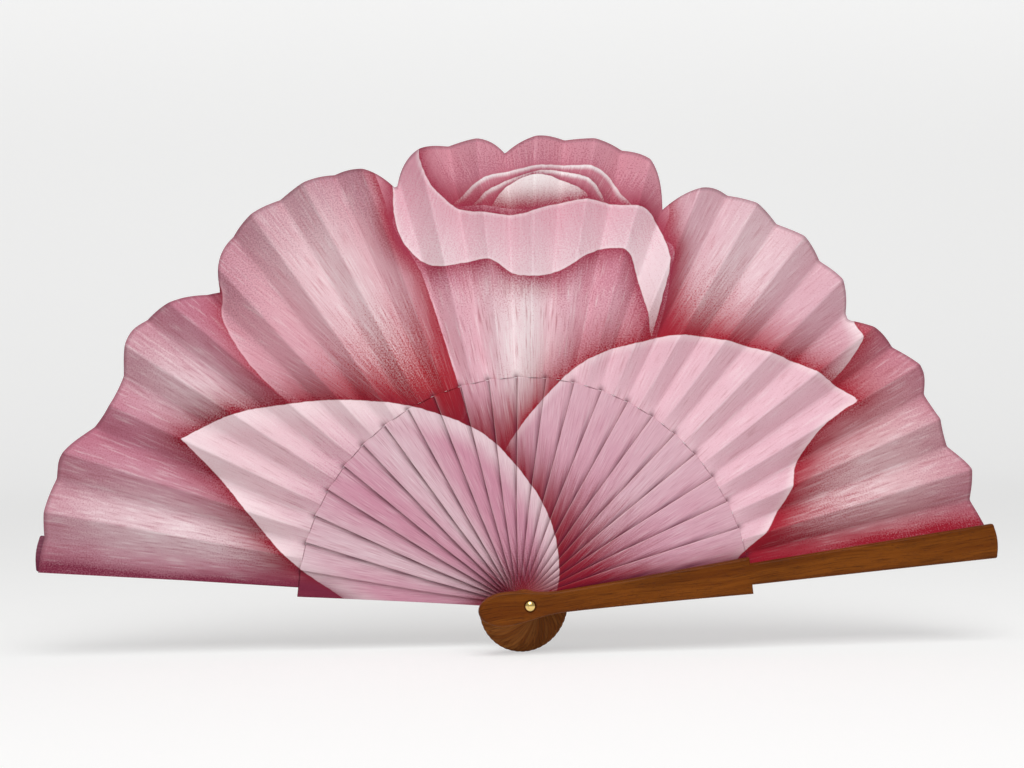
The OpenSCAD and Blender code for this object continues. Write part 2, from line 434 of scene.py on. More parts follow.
def keep_values(piece: bpy.types.Object, name: str, values: Array) -> None:
    """Store a number or a vector for each point of a piece, for its finish to read.

    Args:
        piece: The piece.
        name: The name that the finish reads it by.
        values: One number or one row of three for each point.
    """
    kind = "FLOAT" if values.ndim == 1 else "FLOAT_VECTOR"
    layer = piece.data.attributes.new(name, kind, "POINT")
    layer.data.foreach_set("value" if values.ndim == 1 else "vector", values.astype(np.float32).ravel())


def turned(name: str, profile: Sequence[tuple[float, float]], turns: int = 48) -> bpy.types.Object:
    """Turn a profile about the rivet's axis, as on a lathe.

    Args:
        name: The piece's name.
        profile: Radius and place along the rivet of each point; it ends on the axis or closes a ring.
        turns: Number of steps round.

    Returns:
        The turned piece.
    """
    spin = np.arange(turns) * 2 * math.pi / turns
    rows = np.array([[(r * math.cos(a), y, r * math.sin(a)) for a in spin] for r, y in profile])
    piece = make_mesh(name, rows.reshape(-1, 3), tube_faces(len(profile), turns))
    soften(piece, 50)
    return piece


@dataclass
class Loft:
    """A flat stick as rounded sections along it, in its own frame: x along, y through, z across.

    Every field but the last four has one value for each section.
    """

    along: Array
    low: Array
    high: Array
    front: Array
    back: Array
    front_ease: Array
    back_ease: Array
    lean: Array
    tip_bulge: float = 0.0
    bulge_from: float = 0.0
    end_ease: float = 0.0
    across: int = 8

    def _rim(self) -> tuple[Array, Array]:
        """Give the outward directions of the low and the high edge at each section.

        Returns:
            One row of along and across for each section, for the low edge and for the high one.
        """
        normals = []
        for edge, sign in ((self.low, -1), (self.high, 1)):
            run, rise = np.gradient(self.along), np.gradient(edge)
            length = np.maximum(np.hypot(run, rise), 1e-9)
            normal = np.stack([-rise, run], axis=1) / length[:, None] * sign
            normal[0] = (-1, 0)
            normals.append(normal)
        return normals[0], normals[1]

    def _chain(self, turn: int) -> tuple[Array, Array, Array]:
        """Give the points of half a section: share of the high edge, inset and depth, in eases.

        Args:
            turn: Number of steps round each eased edge.

        Returns:
            The shares, the insets and the depths.
        """
        round_off = np.radians(np.linspace(90, 0, turn + 1))[:-1]
        level = np.linspace(0, 1, self.across + 1)
        share = np.concatenate([np.zeros(turn), level, np.ones(turn)])
        side_in, side_deep = 1 - np.sin(round_off), 1 - np.cos(round_off)
        inset = np.concatenate([side_in, np.ones(self.across + 1), side_in[::-1]])
        depth = np.concatenate([side_deep, np.zeros(self.across + 1), side_deep[::-1]])
        return share, inset, depth

    def build(self, name: str, angle: float) -> bpy.types.Object:
        """Make the stick's mesh at its place in the open fan.

        Args:
            name: The piece's name.
            angle: The stick's angle in degrees.

        Returns:
            The stick, closed, with its eased edges.
        """
        low_out, high_out = self._rim()
        share, inset, depth = self._chain(3)
        shrink = np.zeros(len(self.along))
        if self.end_ease:
            left = self.along[-1] - self.along
            step = np.clip(1 - left / self.end_ease, 0, 1)
            shrink = self.end_ease * (1 - np.sqrt(1 - step ** 2))
        low = np.stack([self.along, self.low], axis=1)
        high = np.stack([self.along, self.high], axis=1)
        halves = []
        for face, eases, sign in ((self.front, self.front_ease, 1), (self.back, self.back_ease, -1)):
            s = share[None, :, None]
            edge = low[:, None] * (1 - s) + high[:, None] * s
            out = low_out[:, None] * (1 - s) + high_out[:, None] * s
            spot = edge - out * (eases[:, None] * inset + shrink[:, None])[:, :, None]
            centre = (share - 0.5)[None, :] * 2
            rounded = eases[:, None] * depth + shrink[:, None]
            y = face[:, None] + self.lean[:, None] * centre + sign * rounded
            reach = np.clip((spot[:, :, 0] - self.bulge_from) / (self.along[-1] - self.bulge_from), 0, 1)
            x = spot[:, :, 0] - self.tip_bulge * centre ** 2 * reach ** 4
            halves.append(np.stack([x, y, spot[:, :, 1]], axis=2))
        ring = np.concatenate([halves[0], halves[1][:, ::-1]], axis=1)
        count, size = ring.shape[:2]
        faces = tube_faces(count, size)
        last = (count - 1) * size
        faces += [(last + i, last + i + 1, last + size - 2 - i, last + size - 1 - i)
                  for i in range(size // 2 - 1)]
        return make_mesh(name, swung(ring.reshape(-1, 3), angle), faces)


# ---------------------------------------------------------------- the painting

ACROSS_AT = 150 * MM  # where a petal's bearings are turned into distances across it
GROUND = "C98C9C"  # the paint under all the petals
HIGHLIGHT = "F4E6E8"  # the paint of the petals' pale glow and hairs
STIPPLE = "C9707F"  # what deepens the paint in the dips of the ground


@dataclass(frozen=True)
class PaintedPetal:
    """One painted petal: its outline in the fan's plane, its colours and its brush work.

    The outline is one or more smooth runs of points in millimetres, x to the front guard's side and
    z up; it has a sharp corner where two runs meet. Reaches are distances from the root, in metres.
    """

    name: str
    runs: tuple[tuple[tuple[float, float], ...], ...]
    root: tuple[float, float]
    axis: float
    root_colour: str
    body_colour: str
    tip_colour: str
    root_reach: tuple[float, float]
    tip_reach: tuple[float, float]
    rim_colour: str = "F2D6DC"
    rim_width: float = 3 * MM
    rim_strength: float = 0.5
    shade_colour: str = "8E1F33"
    shade_width: float = 12 * MM
    shade_strength: float = 0.8
    glow_at: float = 0.0
    glow_width: float = 20 * MM
    glow_spread: float = 0.0
    glow_strength: float = 0.0
    streaks: float = 0.5
    fills: bool = True

    def outline(self) -> Array:
        """Give the closed outline as many short straight stretches, in metres.

        Returns:
            One row of x and z for the start of each stretch.
        """
        line = []
        for i, run in enumerate(self.runs):
            points = np.array(run, float) * MM
            if len(self.runs) == 1:
                points = np.concatenate([points[-1:], points, points[:2]])
            else:
                end = np.array(self.runs[(i + 1) % len(self.runs)][0], float) * MM
                points = np.concatenate([points[:1], points, end[None], end[None]])
            t = np.linspace(0, 1, 9)[:-1, None]
            for a, b, c, d in zip(points, points[1:], points[2:], points[3:]):
                line.append(0.5 * (2 * b + (c - a) * t + (2 * a - 5 * b + 4 * c - d) * t ** 2
                                   + (3 * b - a - 3 * c + d) * t ** 3))
        return np.concatenate(line)

    def form(self, places: Array) -> Array:
        """Measure places against the petal.

        Args:
            places: One row of x and z for each place, in metres.

        Returns:
            For each place: how far inside the outline it lies (below 0 outside), how far across
            the petal from its axis, and how far from its root.
        """
        start = self.outline()
        step = np.roll(start, -1, axis=0) - start
        best = np.full(len(places), 1e9)
        inside = np.zeros(len(places), bool)
        for (ax, az), (dx, dz) in zip(start, step):
            px, pz = places[:, 0] - ax, places[:, 1] - az
            t = np.clip((px * dx + pz * dz) / max(dx * dx + dz * dz, 1e-14), 0, 1)
            best = np.minimum(best, (px - t * dx) ** 2 + (pz - t * dz) ** 2)
            if abs(dz) > 1e-12:
                crosses = (pz >= min(0, dz)) & (pz < max(0, dz)) & (px < pz / dz * dx)
                inside ^= crosses
        depth = np.sqrt(best) * np.where(inside, 1, -1)
        away = places - np.array(self.root) * MM
        reach = np.hypot(away[:, 0], away[:, 1])
        bearing = np.arctan2(away[:, 1], away[:, 0]) - math.radians(self.axis)
        bearing = (bearing + math.pi) % (2 * math.pi) - math.pi
        return np.stack([depth, bearing * ACROSS_AT, reach], axis=1)


ROSE = (
    PaintedPetal(
        "low_left",
        (((20, -40), (-120, -60), (-240, -40), (-250, 60), (-220, 170), (-100, 240), (0, 200)),),
        root=(0, 0), axis=157, root_colour="8A2034", body_colour="C27E92", tip_colour="B86E82",
        root_reach=(64 * MM, 145 * MM), tip_reach=(165 * MM, 212 * MM),
        rim_strength=0, shade_strength=0, glow_width=15 * MM, glow_spread=27 * MM, glow_strength=0.62),
    PaintedPetal(
        "low_right",
        (((-20, -60), (150, -40), (240, 0), (240, 140), (120, 220), (0, 200)),),
        root=(0, 0), axis=25, root_colour="A32234", body_colour="C8848F", tip_colour="BA7082",
        root_reach=(94 * MM, 172 * MM), tip_reach=(165 * MM, 212 * MM),
        rim_strength=0, shade_strength=0, glow_at=-14 * MM, glow_width=24 * MM, glow_strength=0.5),
    PaintedPetal(
        "high_left",
        (((-132, 142), (-128, 122), (-114, 100), (-90, 80), (-55, 66), (-25, 80), (-30, 120),
          (-42, 150), (-52, 180), (-60, 240), (-150, 250), (-175, 190)),),
        root=(-18, 50), axis=122, root_colour="B02830", body_colour="D8A2AE", tip_colour="B67A8A",
        root_reach=(42 * MM, 100 * MM), tip_reach=(112 * MM, 160 * MM),
        rim_colour="E6B7C2", rim_width=2 * MM, rim_strength=0.5,
        shade_colour="A83446", shade_width=16 * MM, shade_strength=0.75,
        glow_at=6 * MM, glow_width=26 * MM, glow_strength=0.55),
    PaintedPetal(
        "high_right",
        (((152, 128), (149, 112), (138, 96), (120, 84), (85, 76), (50, 84), (42, 110), (48, 145),
          (60, 180), (78, 240), (180, 250), (215, 170)),),
        root=(20, 50), axis=53, root_colour="B22C3C", body_colour="DAAEBA", tip_colour="D8A8B4",
        root_reach=(66 * MM, 126 * MM), tip_reach=(122 * MM, 168 * MM),
        rim_colour="F6E2E6", rim_width=7 * MM, rim_strength=0.7,
        shade_colour="A62636", shade_width=18 * MM, shade_strength=0.85,
        glow_at=-4 * MM, glow_width=24 * MM, glow_strength=0.45),
    PaintedPetal(
        "back_wall",
        (((-60, 176), (-48, 150), (0, 140), (50, 150), (64, 164), (66, 182), (76, 240), (0, 250),
          (-76, 240)),),
        root=(5, 110), axis=90, root_colour="9C2A3C", body_colour="C07688", tip_colour="D898A6",
        root_reach=(50 * MM, 66 * MM), tip_reach=(74 * MM, 92 * MM),
        rim_strength=0, shade_colour="A22838", shade_width=10 * MM, shade_strength=0.8, streaks=0.25),
    PaintedPetal(
        "bud_outer",
        (((-30, 166), (-24, 177), (-17, 183), (-8, 186), (10, 189), (26, 189), (36, 186), (43, 178),
          (46, 164), (0, 150)),),
        root=(4, 130), axis=90, root_colour="A8405A", body_colour="CC8292", tip_colour="CC8292",
        root_reach=(20 * MM, 40 * MM), tip_reach=(50 * MM, 60 * MM),
        rim_colour="F8EEF0", rim_width=2.6 * MM, rim_strength=1.0,
        shade_colour="C06A7E", shade_strength=0.5, shade_width=4 * MM),
    PaintedPetal(
        "bud_middle",
        (((-22, 165), (-18, 175), (-11, 180), (-2, 184), (14, 187), (27, 184), (34, 178), (37, 170),
          (34, 158), (0, 150)),),
        root=(4, 130), axis=90, root_colour="A8405A", body_colour="CC8494", tip_colour="D292A0",
        root_reach=(20 * MM, 38 * MM), tip_reach=(46 * MM, 56 * MM),
        rim_colour="FAF2F3", rim_width=2.6 * MM, rim_strength=1.2,
        shade_colour="A84C62", shade_strength=0.7, shade_width=4 * MM),
    PaintedPetal(
        "bud_heart",
        (((-16, 162), (-13, 171), (-7, 179), (2, 184), (12, 184.5), (22, 181), (29, 174), (28, 164),
          (20, 158), (0, 154)),),
        root=(4, 130), axis=90, root_colour="D8A4B0", body_colour="FAF0F1", tip_colour="FCF4F4",
        root_reach=(24 * MM, 36 * MM), tip_reach=(42 * MM, 50 * MM),
        rim_colour="FCF4F4", rim_width=1.4 * MM, rim_strength=1.0,
        shade_colour="A2485E", shade_strength=0.9, shade_width=4 * MM),
    PaintedPetal(
        "body",
        (((-54, 168), (-43, 142), (-34, 115), (-27, 92), (-17, 62), (4, 30), (14, 30), (32, 56),
          (50, 92), (60, 118), (64, 140), (60, 158), (0, 170)),),
        root=(4, 0), axis=91, root_colour="8E2438", body_colour="E4B0BE", tip_colour="D28C9E",
        root_reach=(44 * MM, 100 * MM), tip_reach=(125 * MM, 150 * MM),
        rim_strength=0.1, shade_colour="9E2434", shade_width=16 * MM, shade_strength=0.9,
        glow_at=3 * MM, glow_width=18 * MM, glow_strength=0.95, streaks=0.9),
    PaintedPetal(
        "rolled_rim",
        (((-58, 204), (-46, 199), (-44, 190), (-40, 181), (-34, 175), (-26, 170), (-12, 168), (0, 168),
          (14, 172), (27, 174), (42, 172), (54, 170), (61, 161), (64, 147), (61, 132)),
         ((56, 113), (53, 130), (50, 142), (46, 151), (38, 153), (28, 150), (18, 144), (8, 141),
          (-3, 142), (-14, 148), (-24, 147), (-36, 145), (-45, 149), (-52, 157), (-55, 168),
          (-55.5, 181), (-58, 190))),
        root=(0, 300), axis=270, root_colour="DEA0B0", body_colour="E4B8C4", tip_colour="F0D8DE",
        root_reach=(122 * MM, 138 * MM), tip_reach=(140 * MM, 160 * MM),
        rim_colour="F6E4E8", rim_width=2.2 * MM, rim_strength=0.5,
        shade_colour="A03A50", shade_width=14 * MM, shade_strength=0.95, streaks=0.2),
    PaintedPetal(
        "front_right",
        (((147, 86), (139, 92), (122, 102), (95, 111), (70, 115), (51, 112), (33, 107), (20, 99),
          (7, 86), (-4, 72), (-12, 56), (-14, 30), (-6, 0)),
         ((0, -12), (50, -8), (84, 8), (92, 19), (104, 29), (114, 43), (121, 61), (132, 76))),
        root=(2, -2), axis=40, root_colour="920C2C", body_colour="E0AEBE", tip_colour="E6BCC8",
        root_reach=(22 * MM, 74 * MM), tip_reach=(62 * MM, 105 * MM),
        rim_colour="F4DCE1", rim_width=4 * MM, rim_strength=0.6,
        shade_colour="9E1F2F", shade_width=27 * MM, shade_strength=0.95,
        glow_at=18 * MM, glow_width=22 * MM, glow_strength=0.3),
    PaintedPetal(
        "front_left",
        (((-146, 72), (-125, 82), (-104, 86), (-80, 88), (-53, 86), (-32, 80), (-16, 72), (-4, 60),
          (6, 46), (12, 32), (14, 18), (12, 6)),
         ((4, -6), (-20, -14), (-50, -14), (-66, -6), (-79, 3), (-96, 15), (-108, 27), (-119, 41),
          (-132, 57))),
        root=(2, -2), axis=140, root_colour="8C1634", body_colour="D89CB0", tip_colour="E8C6CE",
        root_reach=(5 * MM, 34 * MM), tip_reach=(85 * MM, 125 * MM),
        rim_colour="F3DCE1", rim_width=12 * MM, rim_strength=0.85,
        shade_colour="8C1B2C", shade_width=24 * MM, shade_strength=0.95,
        glow_at=14 * MM, glow_width=22 * MM, glow_spread=42 * MM, glow_strength=0.55),
    PaintedPetal(
        "rear_side",
        (((-20, -14), (-60, -10), (-78, 1), (-96, 8), (-150, 12), (-215, 17), (-215, -20),
          (-20, -30)),),
        root=(0, 0), axis=175, root_colour="602438", body_colour="602438", tip_colour="602438",
        root_reach=(10 * MM, 50 * MM), tip_reach=(100 * MM, 200 * MM),
        rim_strength=0, shade_colour="7E2C44", shade_width=12 * MM, shade_strength=0.9, fills=False),
    PaintedPetal(
        "guard_side",
        (((0, -20), (0, 3), (60, 9), (120, 19), (215, 30), (215, -20)),),
        root=(0, 0), axis=5, root_colour="8C1226", body_colour="A81C2C", tip_colour="A02030",
        root_reach=(10 * MM, 50 * MM), tip_reach=(100 * MM, 200 * MM),
        rim_strength=0, shade_colour="941428", shade_width=16 * MM, shade_strength=0.95, fills=False),
)


# ---------------------------------------------------------------- finishes


class Wiring:
    """Lays shader nodes in one tree, and links or sets each of their inputs."""

    def __init__(self, tree: bpy.types.NodeTree) -> None:
        """Keep the tree that the nodes go into."""
        self.tree = tree

    def feed(self, socket: bpy.types.NodeSocket, value: Feed) -> None:
        """Link a socket to another one, or set its value.

        Args:
            socket: The input.
            value: The socket that feeds it, or its value.
        """
        if isinstance(value, bpy.types.NodeSocket):
            self.tree.links.new(value, socket)
        else:
            socket.default_value = value

    def add(self, kind: str, feeds: dict[Union[int, str], Feed], **settings: object) -> bpy.types.Node:
        """Add one node.

        Args:
            kind: The node's type, without its leading "ShaderNode".
            feeds: What goes into each input, by name or number.
            **settings: The node's own settings.

        Returns:
            The new node.
        """
        node = self.tree.nodes.new("ShaderNode" + kind)
        for name, value in settings.items():
            setattr(node, name, value)
        for key, value in feeds.items():
            self.feed(node.inputs[key], value)
        return node

    def math(self, operation: str, a: Feed, b: Feed = 0.0, clamp: bool = False) -> bpy.types.NodeSocket:
        """Work out one number from two."""
        return self.add("Math", {0: a, 1: b}, operation=operation, use_clamp=clamp).outputs[0]

    def plus(self, a: Feed, b: Feed, clamp: bool = False) -> bpy.types.NodeSocket:
        """Add two numbers."""
        return self.math("ADD", a, b, clamp)

    def minus(self, a: Feed, b: Feed) -> bpy.types.NodeSocket:
        """Take one number from another."""
        return self.math("SUBTRACT", a, b)

    def times(self, a: Feed, b: Feed, clamp: bool = False) -> bpy.types.NodeSocket:
        """Multiply two numbers."""
        return self.math("MULTIPLY", a, b, clamp)

    def over(self, a: Feed, b: Feed) -> bpy.types.NodeSocket:
        """Divide one number by another."""
        return self.math("DIVIDE", a, b)

    def mix(self, share: Feed, a: Feed, b: Feed, mode: str = "MIX") -> bpy.types.NodeSocket:
        """Mix two colours."""
        node = self.add("Mix", {0: share, 6: a, 7: b}, data_type="RGBA", blend_type=mode)
        return node.outputs[2]

    def span(self, value: Feed, start: Feed, end: Feed) -> bpy.types.NodeSocket:
        """Go smoothly from 0 to 1 as a value goes from start to end."""
        feeds = {"Value": value, "From Min": start, "From Max": end}
        return self.add("MapRange", feeds, interpolation_type="SMOOTHSTEP").outputs["Result"]

    def noise(self, where: Feed, scale: float, detail: float = 2.0) -> bpy.types.NodeSocket:
        """Give a soft random number, about 0.5, for each place."""
        feeds = {"Vector": where, "Scale": scale, "Detail": detail}
        return self.add("TexNoise", feeds).outputs[0]

    def vector(self, x: Feed, y: Feed, z: Feed) -> bpy.types.NodeSocket:
        """Join three numbers."""
        return self.add("CombineXYZ", {0: x, 1: y, 2: z}).outputs[0]

    def parts(self, vector: Feed) -> tuple[bpy.types.NodeSocket, ...]:
        """Take a vector apart."""
        return tuple(self.add("SeparateXYZ", {0: vector}).outputs)

    def stored(self, name: str) -> bpy.types.Node:
        """Read what a piece stores for each of its points."""
        return self.add("Attribute", {}, attribute_type="GEOMETRY", attribute_name=name)


def petal_layer() -> bpy.types.NodeTree:
    """Make the group that paints one petal over what is under it.

    Returns:
        The group. Its inputs are the petal's form, colours and brush work.
    """
    tree = bpy.data.node_groups.new("petal_layer", "ShaderNodeTree")
    for name, kind in (("Under", "Color"), ("Form", "Vector"), ("Place", "Vector"), ("Root", "Color"),
                       ("Body", "Color"), ("Tip", "Color"), ("Rim", "Color"), ("Shade", "Color"),
                       ("Root Start", "Float"), ("Root End", "Float"), ("Tip Start", "Float"),
                       ("Tip End", "Float"), ("Rim Width", "Float"), ("Rim Strength", "Float"),
                       ("Shade Width", "Float"), ("Shade Strength", "Float"), ("Glow At", "Float"),
                       ("Glow Width", "Float"), ("Glow Spread", "Float"), ("Glow Strength", "Float"),
                       ("Streaks", "Float"), ("Fill", "Float"), ("Seed", "Float"), ("Grain", "Float")):
        tree.interface.new_socket(name, in_out="INPUT", socket_type="NodeSocket" + kind)
    tree.interface.new_socket("Colour", in_out="OUTPUT", socket_type="NodeSocketColor")
    w = Wiring(tree)
    give = tree.nodes.new("NodeGroupInput").outputs
    take = tree.nodes.new("NodeGroupOutput").inputs
    depth, across, reach = w.parts(give["Form"])
    ragged = w.times(w.minus(w.noise(give["Place"], 260, 3), 0.5), 0.9 * MM)
    edge = w.plus(depth, ragged)
    fine = w.noise(w.vector(across, w.times(reach, 0.07), give["Seed"]), 1100, 3)
    broad = w.noise(w.vector(across, w.times(reach, 0.2), give["Seed"]), 170, 2)
    grain = w.times(w.minus(w.noise(give["Place"], 1500, 3), 0.5), give["Grain"])
    stray = 45 * MM
    wander = w.plus(w.times(w.minus(fine, 0.5), stray), w.times(w.minus(broad, 0.5), stray))
    wander = w.times(wander, give["Streaks"])
    far = w.plus(w.plus(reach, wander), w.times(grain, 90 * MM))
    from_root = w.span(far, give["Root Start"], give["Root End"])
    to_tip = w.span(far, give["Tip Start"], give["Tip End"])
    colour = w.mix(from_root, give["Root"], give["Body"])
    colour = w.mix(to_tip, colour, give["Tip"])
    away = w.math("ABSOLUTE", w.minus(across, give["Glow At"]))
    off = w.over(w.minus(away, give["Glow Spread"]), give["Glow Width"])
    glow = w.math("EXPONENT", w.times(w.times(off, off), -1.0))
    glow = w.times(w.times(glow, give["Glow Strength"]), from_root)
    glow = w.times(glow, w.minus(1.0, w.times(to_tip, 0.7)))
    uneven = w.plus(w.plus(0.2, w.times(fine, 1.6)), w.times(grain, 1.6))
    glow = w.times(glow, uneven, clamp=True)
    colour = w.mix(glow, colour, paint(HIGHLIGHT))
    pale_hairs = w.times(w.span(fine, 0.52, 0.72), w.times(give["Streaks"], 0.58))
    colour = w.mix(pale_hairs, colour, paint(HIGHLIGHT))
    deep_hairs = w.times(w.span(fine, 0.46, 0.28), w.times(give["Streaks"], 0.45))
    colour = w.mix(deep_hairs, colour, give["Shade"])
    rim = w.minus(1.0, w.span(edge, 0.0, give["Rim Width"]))
    rim = w.times(rim, w.times(give["Rim Strength"], w.plus(0.2, uneven)), clamp=True)
    colour = w.mix(rim, colour, give["Rim"])
    near = w.plus(1.0, w.over(depth, give["Shade Width"]), clamp=True)
    near = w.times(w.times(near, near), give["Shade Strength"])
    smoky = w.plus(w.times(broad, 0.8), w.times(grain, 1.6))
    near = w.times(near, w.plus(0.6, smoky), clamp=True)
    under = w.mix(near, give["Under"], give["Shade"])
    cover = w.times(w.span(edge, -0.15 * MM, 0.25 * MM), give["Fill"])
    w.feed(take["Colour"], w.mix(cover, under, colour))
    return tree


class Painting:
    """The rose that is painted over the front of the leaf and the ribs."""

    def __init__(self, petals: Sequence[PaintedPetal]) -> None:
        """Keep the petals, from the back to the front, and make their group."""
        self.petals = petals
        self.group = petal_layer()

    def lay_out(self, piece: bpy.types.Object) -> None:
        """Store where each of a piece's points lies in the painting.

        Args:
            piece: The piece.
        """
        points = corners_of(piece)
        keep_values(piece, "fan_place", points * (1, 0, 1))
        for petal in self.petals:
            keep_values(piece, "form_" + petal.name, petal.form(points[:, [0, 2]]))

    def colour(self, w: Wiring, grain: float) -> bpy.types.NodeSocket:
        """Lay the petals one over the other.

        Args:
            w: Where the nodes go.
            grain: How much the ground under the paint shows as stipple, 1 for canvas.

        Returns:
            The painted colour.
        """
        place = w.stored("fan_place").outputs["Vector"]
        colour: Feed = paint(GROUND)
        for seed, p in enumerate(self.petals):
            feeds = {
                "Under": colour, "Form": w.stored("form_" + p.name).outputs["Vector"], "Place": place,
                "Root": paint(p.root_colour), "Body": paint(p.body_colour), "Tip": paint(p.tip_colour),
                "Rim": paint(p.rim_colour), "Shade": paint(p.shade_colour),
                "Root Start": p.root_reach[0], "Root End": p.root_reach[1],
                "Tip Start": p.tip_reach[0], "Tip End": p.tip_reach[1],
                "Rim Width": p.rim_width, "Rim Strength": p.rim_strength,
                "Shade Width": p.shade_width, "Shade Strength": p.shade_strength,
                "Glow At": p.glow_at, "Glow Width": p.glow_width, "Glow Spread": p.glow_spread,
                "Glow Strength": p.glow_strength,
                "Streaks": p.streaks, "Fill": float(p.fills), "Seed": seed * 0.37, "Grain": grain,
            }
            node = w.tree.nodes.new("ShaderNodeGroup")
            node.node_tree = self.group
            for name, value in feeds.items():
                w.feed(node.inputs[name], value)
            colour = node.outputs["Colour"]
        specks = w.span(w.noise(place, 1500, 4), 0.5, 0.72)
        deeper = w.mix(1.0, colour, paint(STIPPLE), "MULTIPLY")
        return w.mix(w.times(specks, 0.2 * grain), colour, deeper)


@dataclass(frozen=True)
class Finish:
    """What every finish has: its name, its roughness and its gloss."""

    name: str
    roughness: float
    gloss: float

    def start(self) -> tuple[bpy.types.Material, Wiring, bpy.types.Node]:
        """Make an empty material.

        Returns:
            The material, where its nodes go, and its surface shader.
        """
        material = bpy.data.materials.new(self.name)
        material.use_nodes = True
        surface = material.node_tree.nodes["Principled BSDF"]
        surface.inputs["Roughness"].default_value = self.roughness
        surface.inputs["Specular IOR Level"].default_value = self.gloss
        return material, Wiring(material.node_tree), surface

    def relief(self, w: Wiring, surface: bpy.types.Node, height: Feed, depth: float) -> None:
        """Give the surface a fine relief of a real depth."""
        bump = w.add("Bump", {"Height": height, "Distance": depth, "Strength": 1.0})
        w.feed(surface.inputs["Normal"], bump.outputs["Normal"])


@dataclass(frozen=True)
class WoodFinish(Finish):
    """Oiled wood with its grain along each stick."""

    pale: str = "7E440E"
    brown: str = "6A3406"
    dark: str = "3E1A01"
    # painted shade: a dark line round each rib's head, where the heads lie one over the other
    rim: str = "2A1002"
    rim_strength: float = 0.8
    drawn_out: float = 0.035
    grain_depth: float = 0.05 * MM

    def grain(self, w: Wiring) -> tuple[bpy.types.NodeSocket, bpy.types.NodeSocket]:
        """Work out the wood's colour and its relief.

        Args:
            w: Where the nodes go.

        Returns:
            The colour and the height.
        """
        along, through, across = w.parts(w.stored("stick_grain").outputs["Vector"])
        bend = w.noise(w.vector(w.times(along, 0.35), through, across), 45, 2)
        side = w.plus(across, w.times(bend, 9 * MM))
        drawn = w.times(along, self.drawn_out)
        bands = w.noise(w.vector(drawn, through, side), 330, 3)
        lines = w.noise(w.vector(drawn, through, side), 2300, 3)
        pores = w.noise(w.vector(w.times(along, 0.1), through, across), 4200, 2)
        blotch = w.noise(w.vector(w.times(along, 0.4), through, across), 60, 2)
        colour = w.mix(w.span(bands, 0.36, 0.66), paint(self.brown), paint(self.pale))
        colour = w.mix(w.times(w.span(lines, 0.48, 0.72), 0.6), colour, paint(self.dark))
        colour = w.mix(w.times(w.span(pores, 0.6, 0.74), 0.7), colour, paint(self.dark))
        colour = w.mix(w.times(w.span(blotch, 0.45, 0.75), 0.35), colour, paint(self.dark))
        # painted shade round each rib's head, where the heads lie one over the other
        rim = w.times(w.stored("head_rim_shade").outputs["Fac"], self.rim_strength)
        colour = w.mix(rim, colour, paint(self.rim))
        height = w.minus(w.times(lines, -0.5), w.span(pores, 0.58, 0.72))
        return colour, height

    def make(self) -> bpy.types.Material:
        """Make the material.

        Returns:
            The wood.
        """
        material, w, surface = self.start()
        colour, height = self.grain(w)
        w.feed(surface.inputs["Base Color"], colour)
        self.relief(w, surface, height, self.grain_depth)
        return material


@dataclass(frozen=True)
class PaintedWoodFinish(WoodFinish):
    """Wood that is brushed with the rose on its front and bare elsewhere."""

    # pale edges of the ribs: worn paint, and a painted highlight along them
    worn_and_highlit: str = "E8CAD2"
    # painted shade along the edge of the stick in front of a rib, and the colour of the rear guard's dark
    # tip
    corner: str = "5E1E38"
    worn_and_highlit_strength: float = 0.35
    stipple: float = 0.2
    brush_depth: float = 0.04 * MM

    def make_with(self, painting: Painting) -> bpy.types.Material:
        """Make the material with the rose on it.

        Args:
            painting: The rose.

        Returns:
            The painted wood.
        """
        material, w, surface = self.start()
        bare, height = self.grain(w)
        along, through, across = w.parts(w.stored("stick_grain").outputs["Vector"])
        hairs = w.noise(w.vector(w.times(along, 0.05), through, across), 2600, 3)
        colour = painting.colour(w, self.stipple)
        tint = w.mix(1.0, colour, paint("E2D2DA"), "MULTIPLY")
        colour = w.mix(w.times(hairs, 0.9), colour, tint)
        # pale edges: worn paint with a painted highlight
        worn_and_highlit = w.times(w.stored("worn_and_highlit_edge").outputs["Fac"], self.worn_and_highlit_strength)
        colour = w.mix(worn_and_highlit, colour, paint(self.worn_and_highlit))
        # painted shade along the stick in front, and the rear guard's dark tip, laid in streaks
        dark_share = w.plus(0.4, w.times(hairs, 0.6))
        corner = w.times(w.stored("corner").outputs["Fac"], dark_share)
        colour = w.mix(corner, colour, paint(self.corner))
        ragged = w.plus(w.stored("painted").outputs["Fac"], w.times(hairs, 0.3))
        cover = w.span(ragged, 0.55, 0.75)
        w.feed(surface.inputs["Base Color"], w.mix(cover, bare, colour))
        self.relief(w, surface, w.plus(w.times(hairs, 0.8), height), self.brush_depth)
        return material


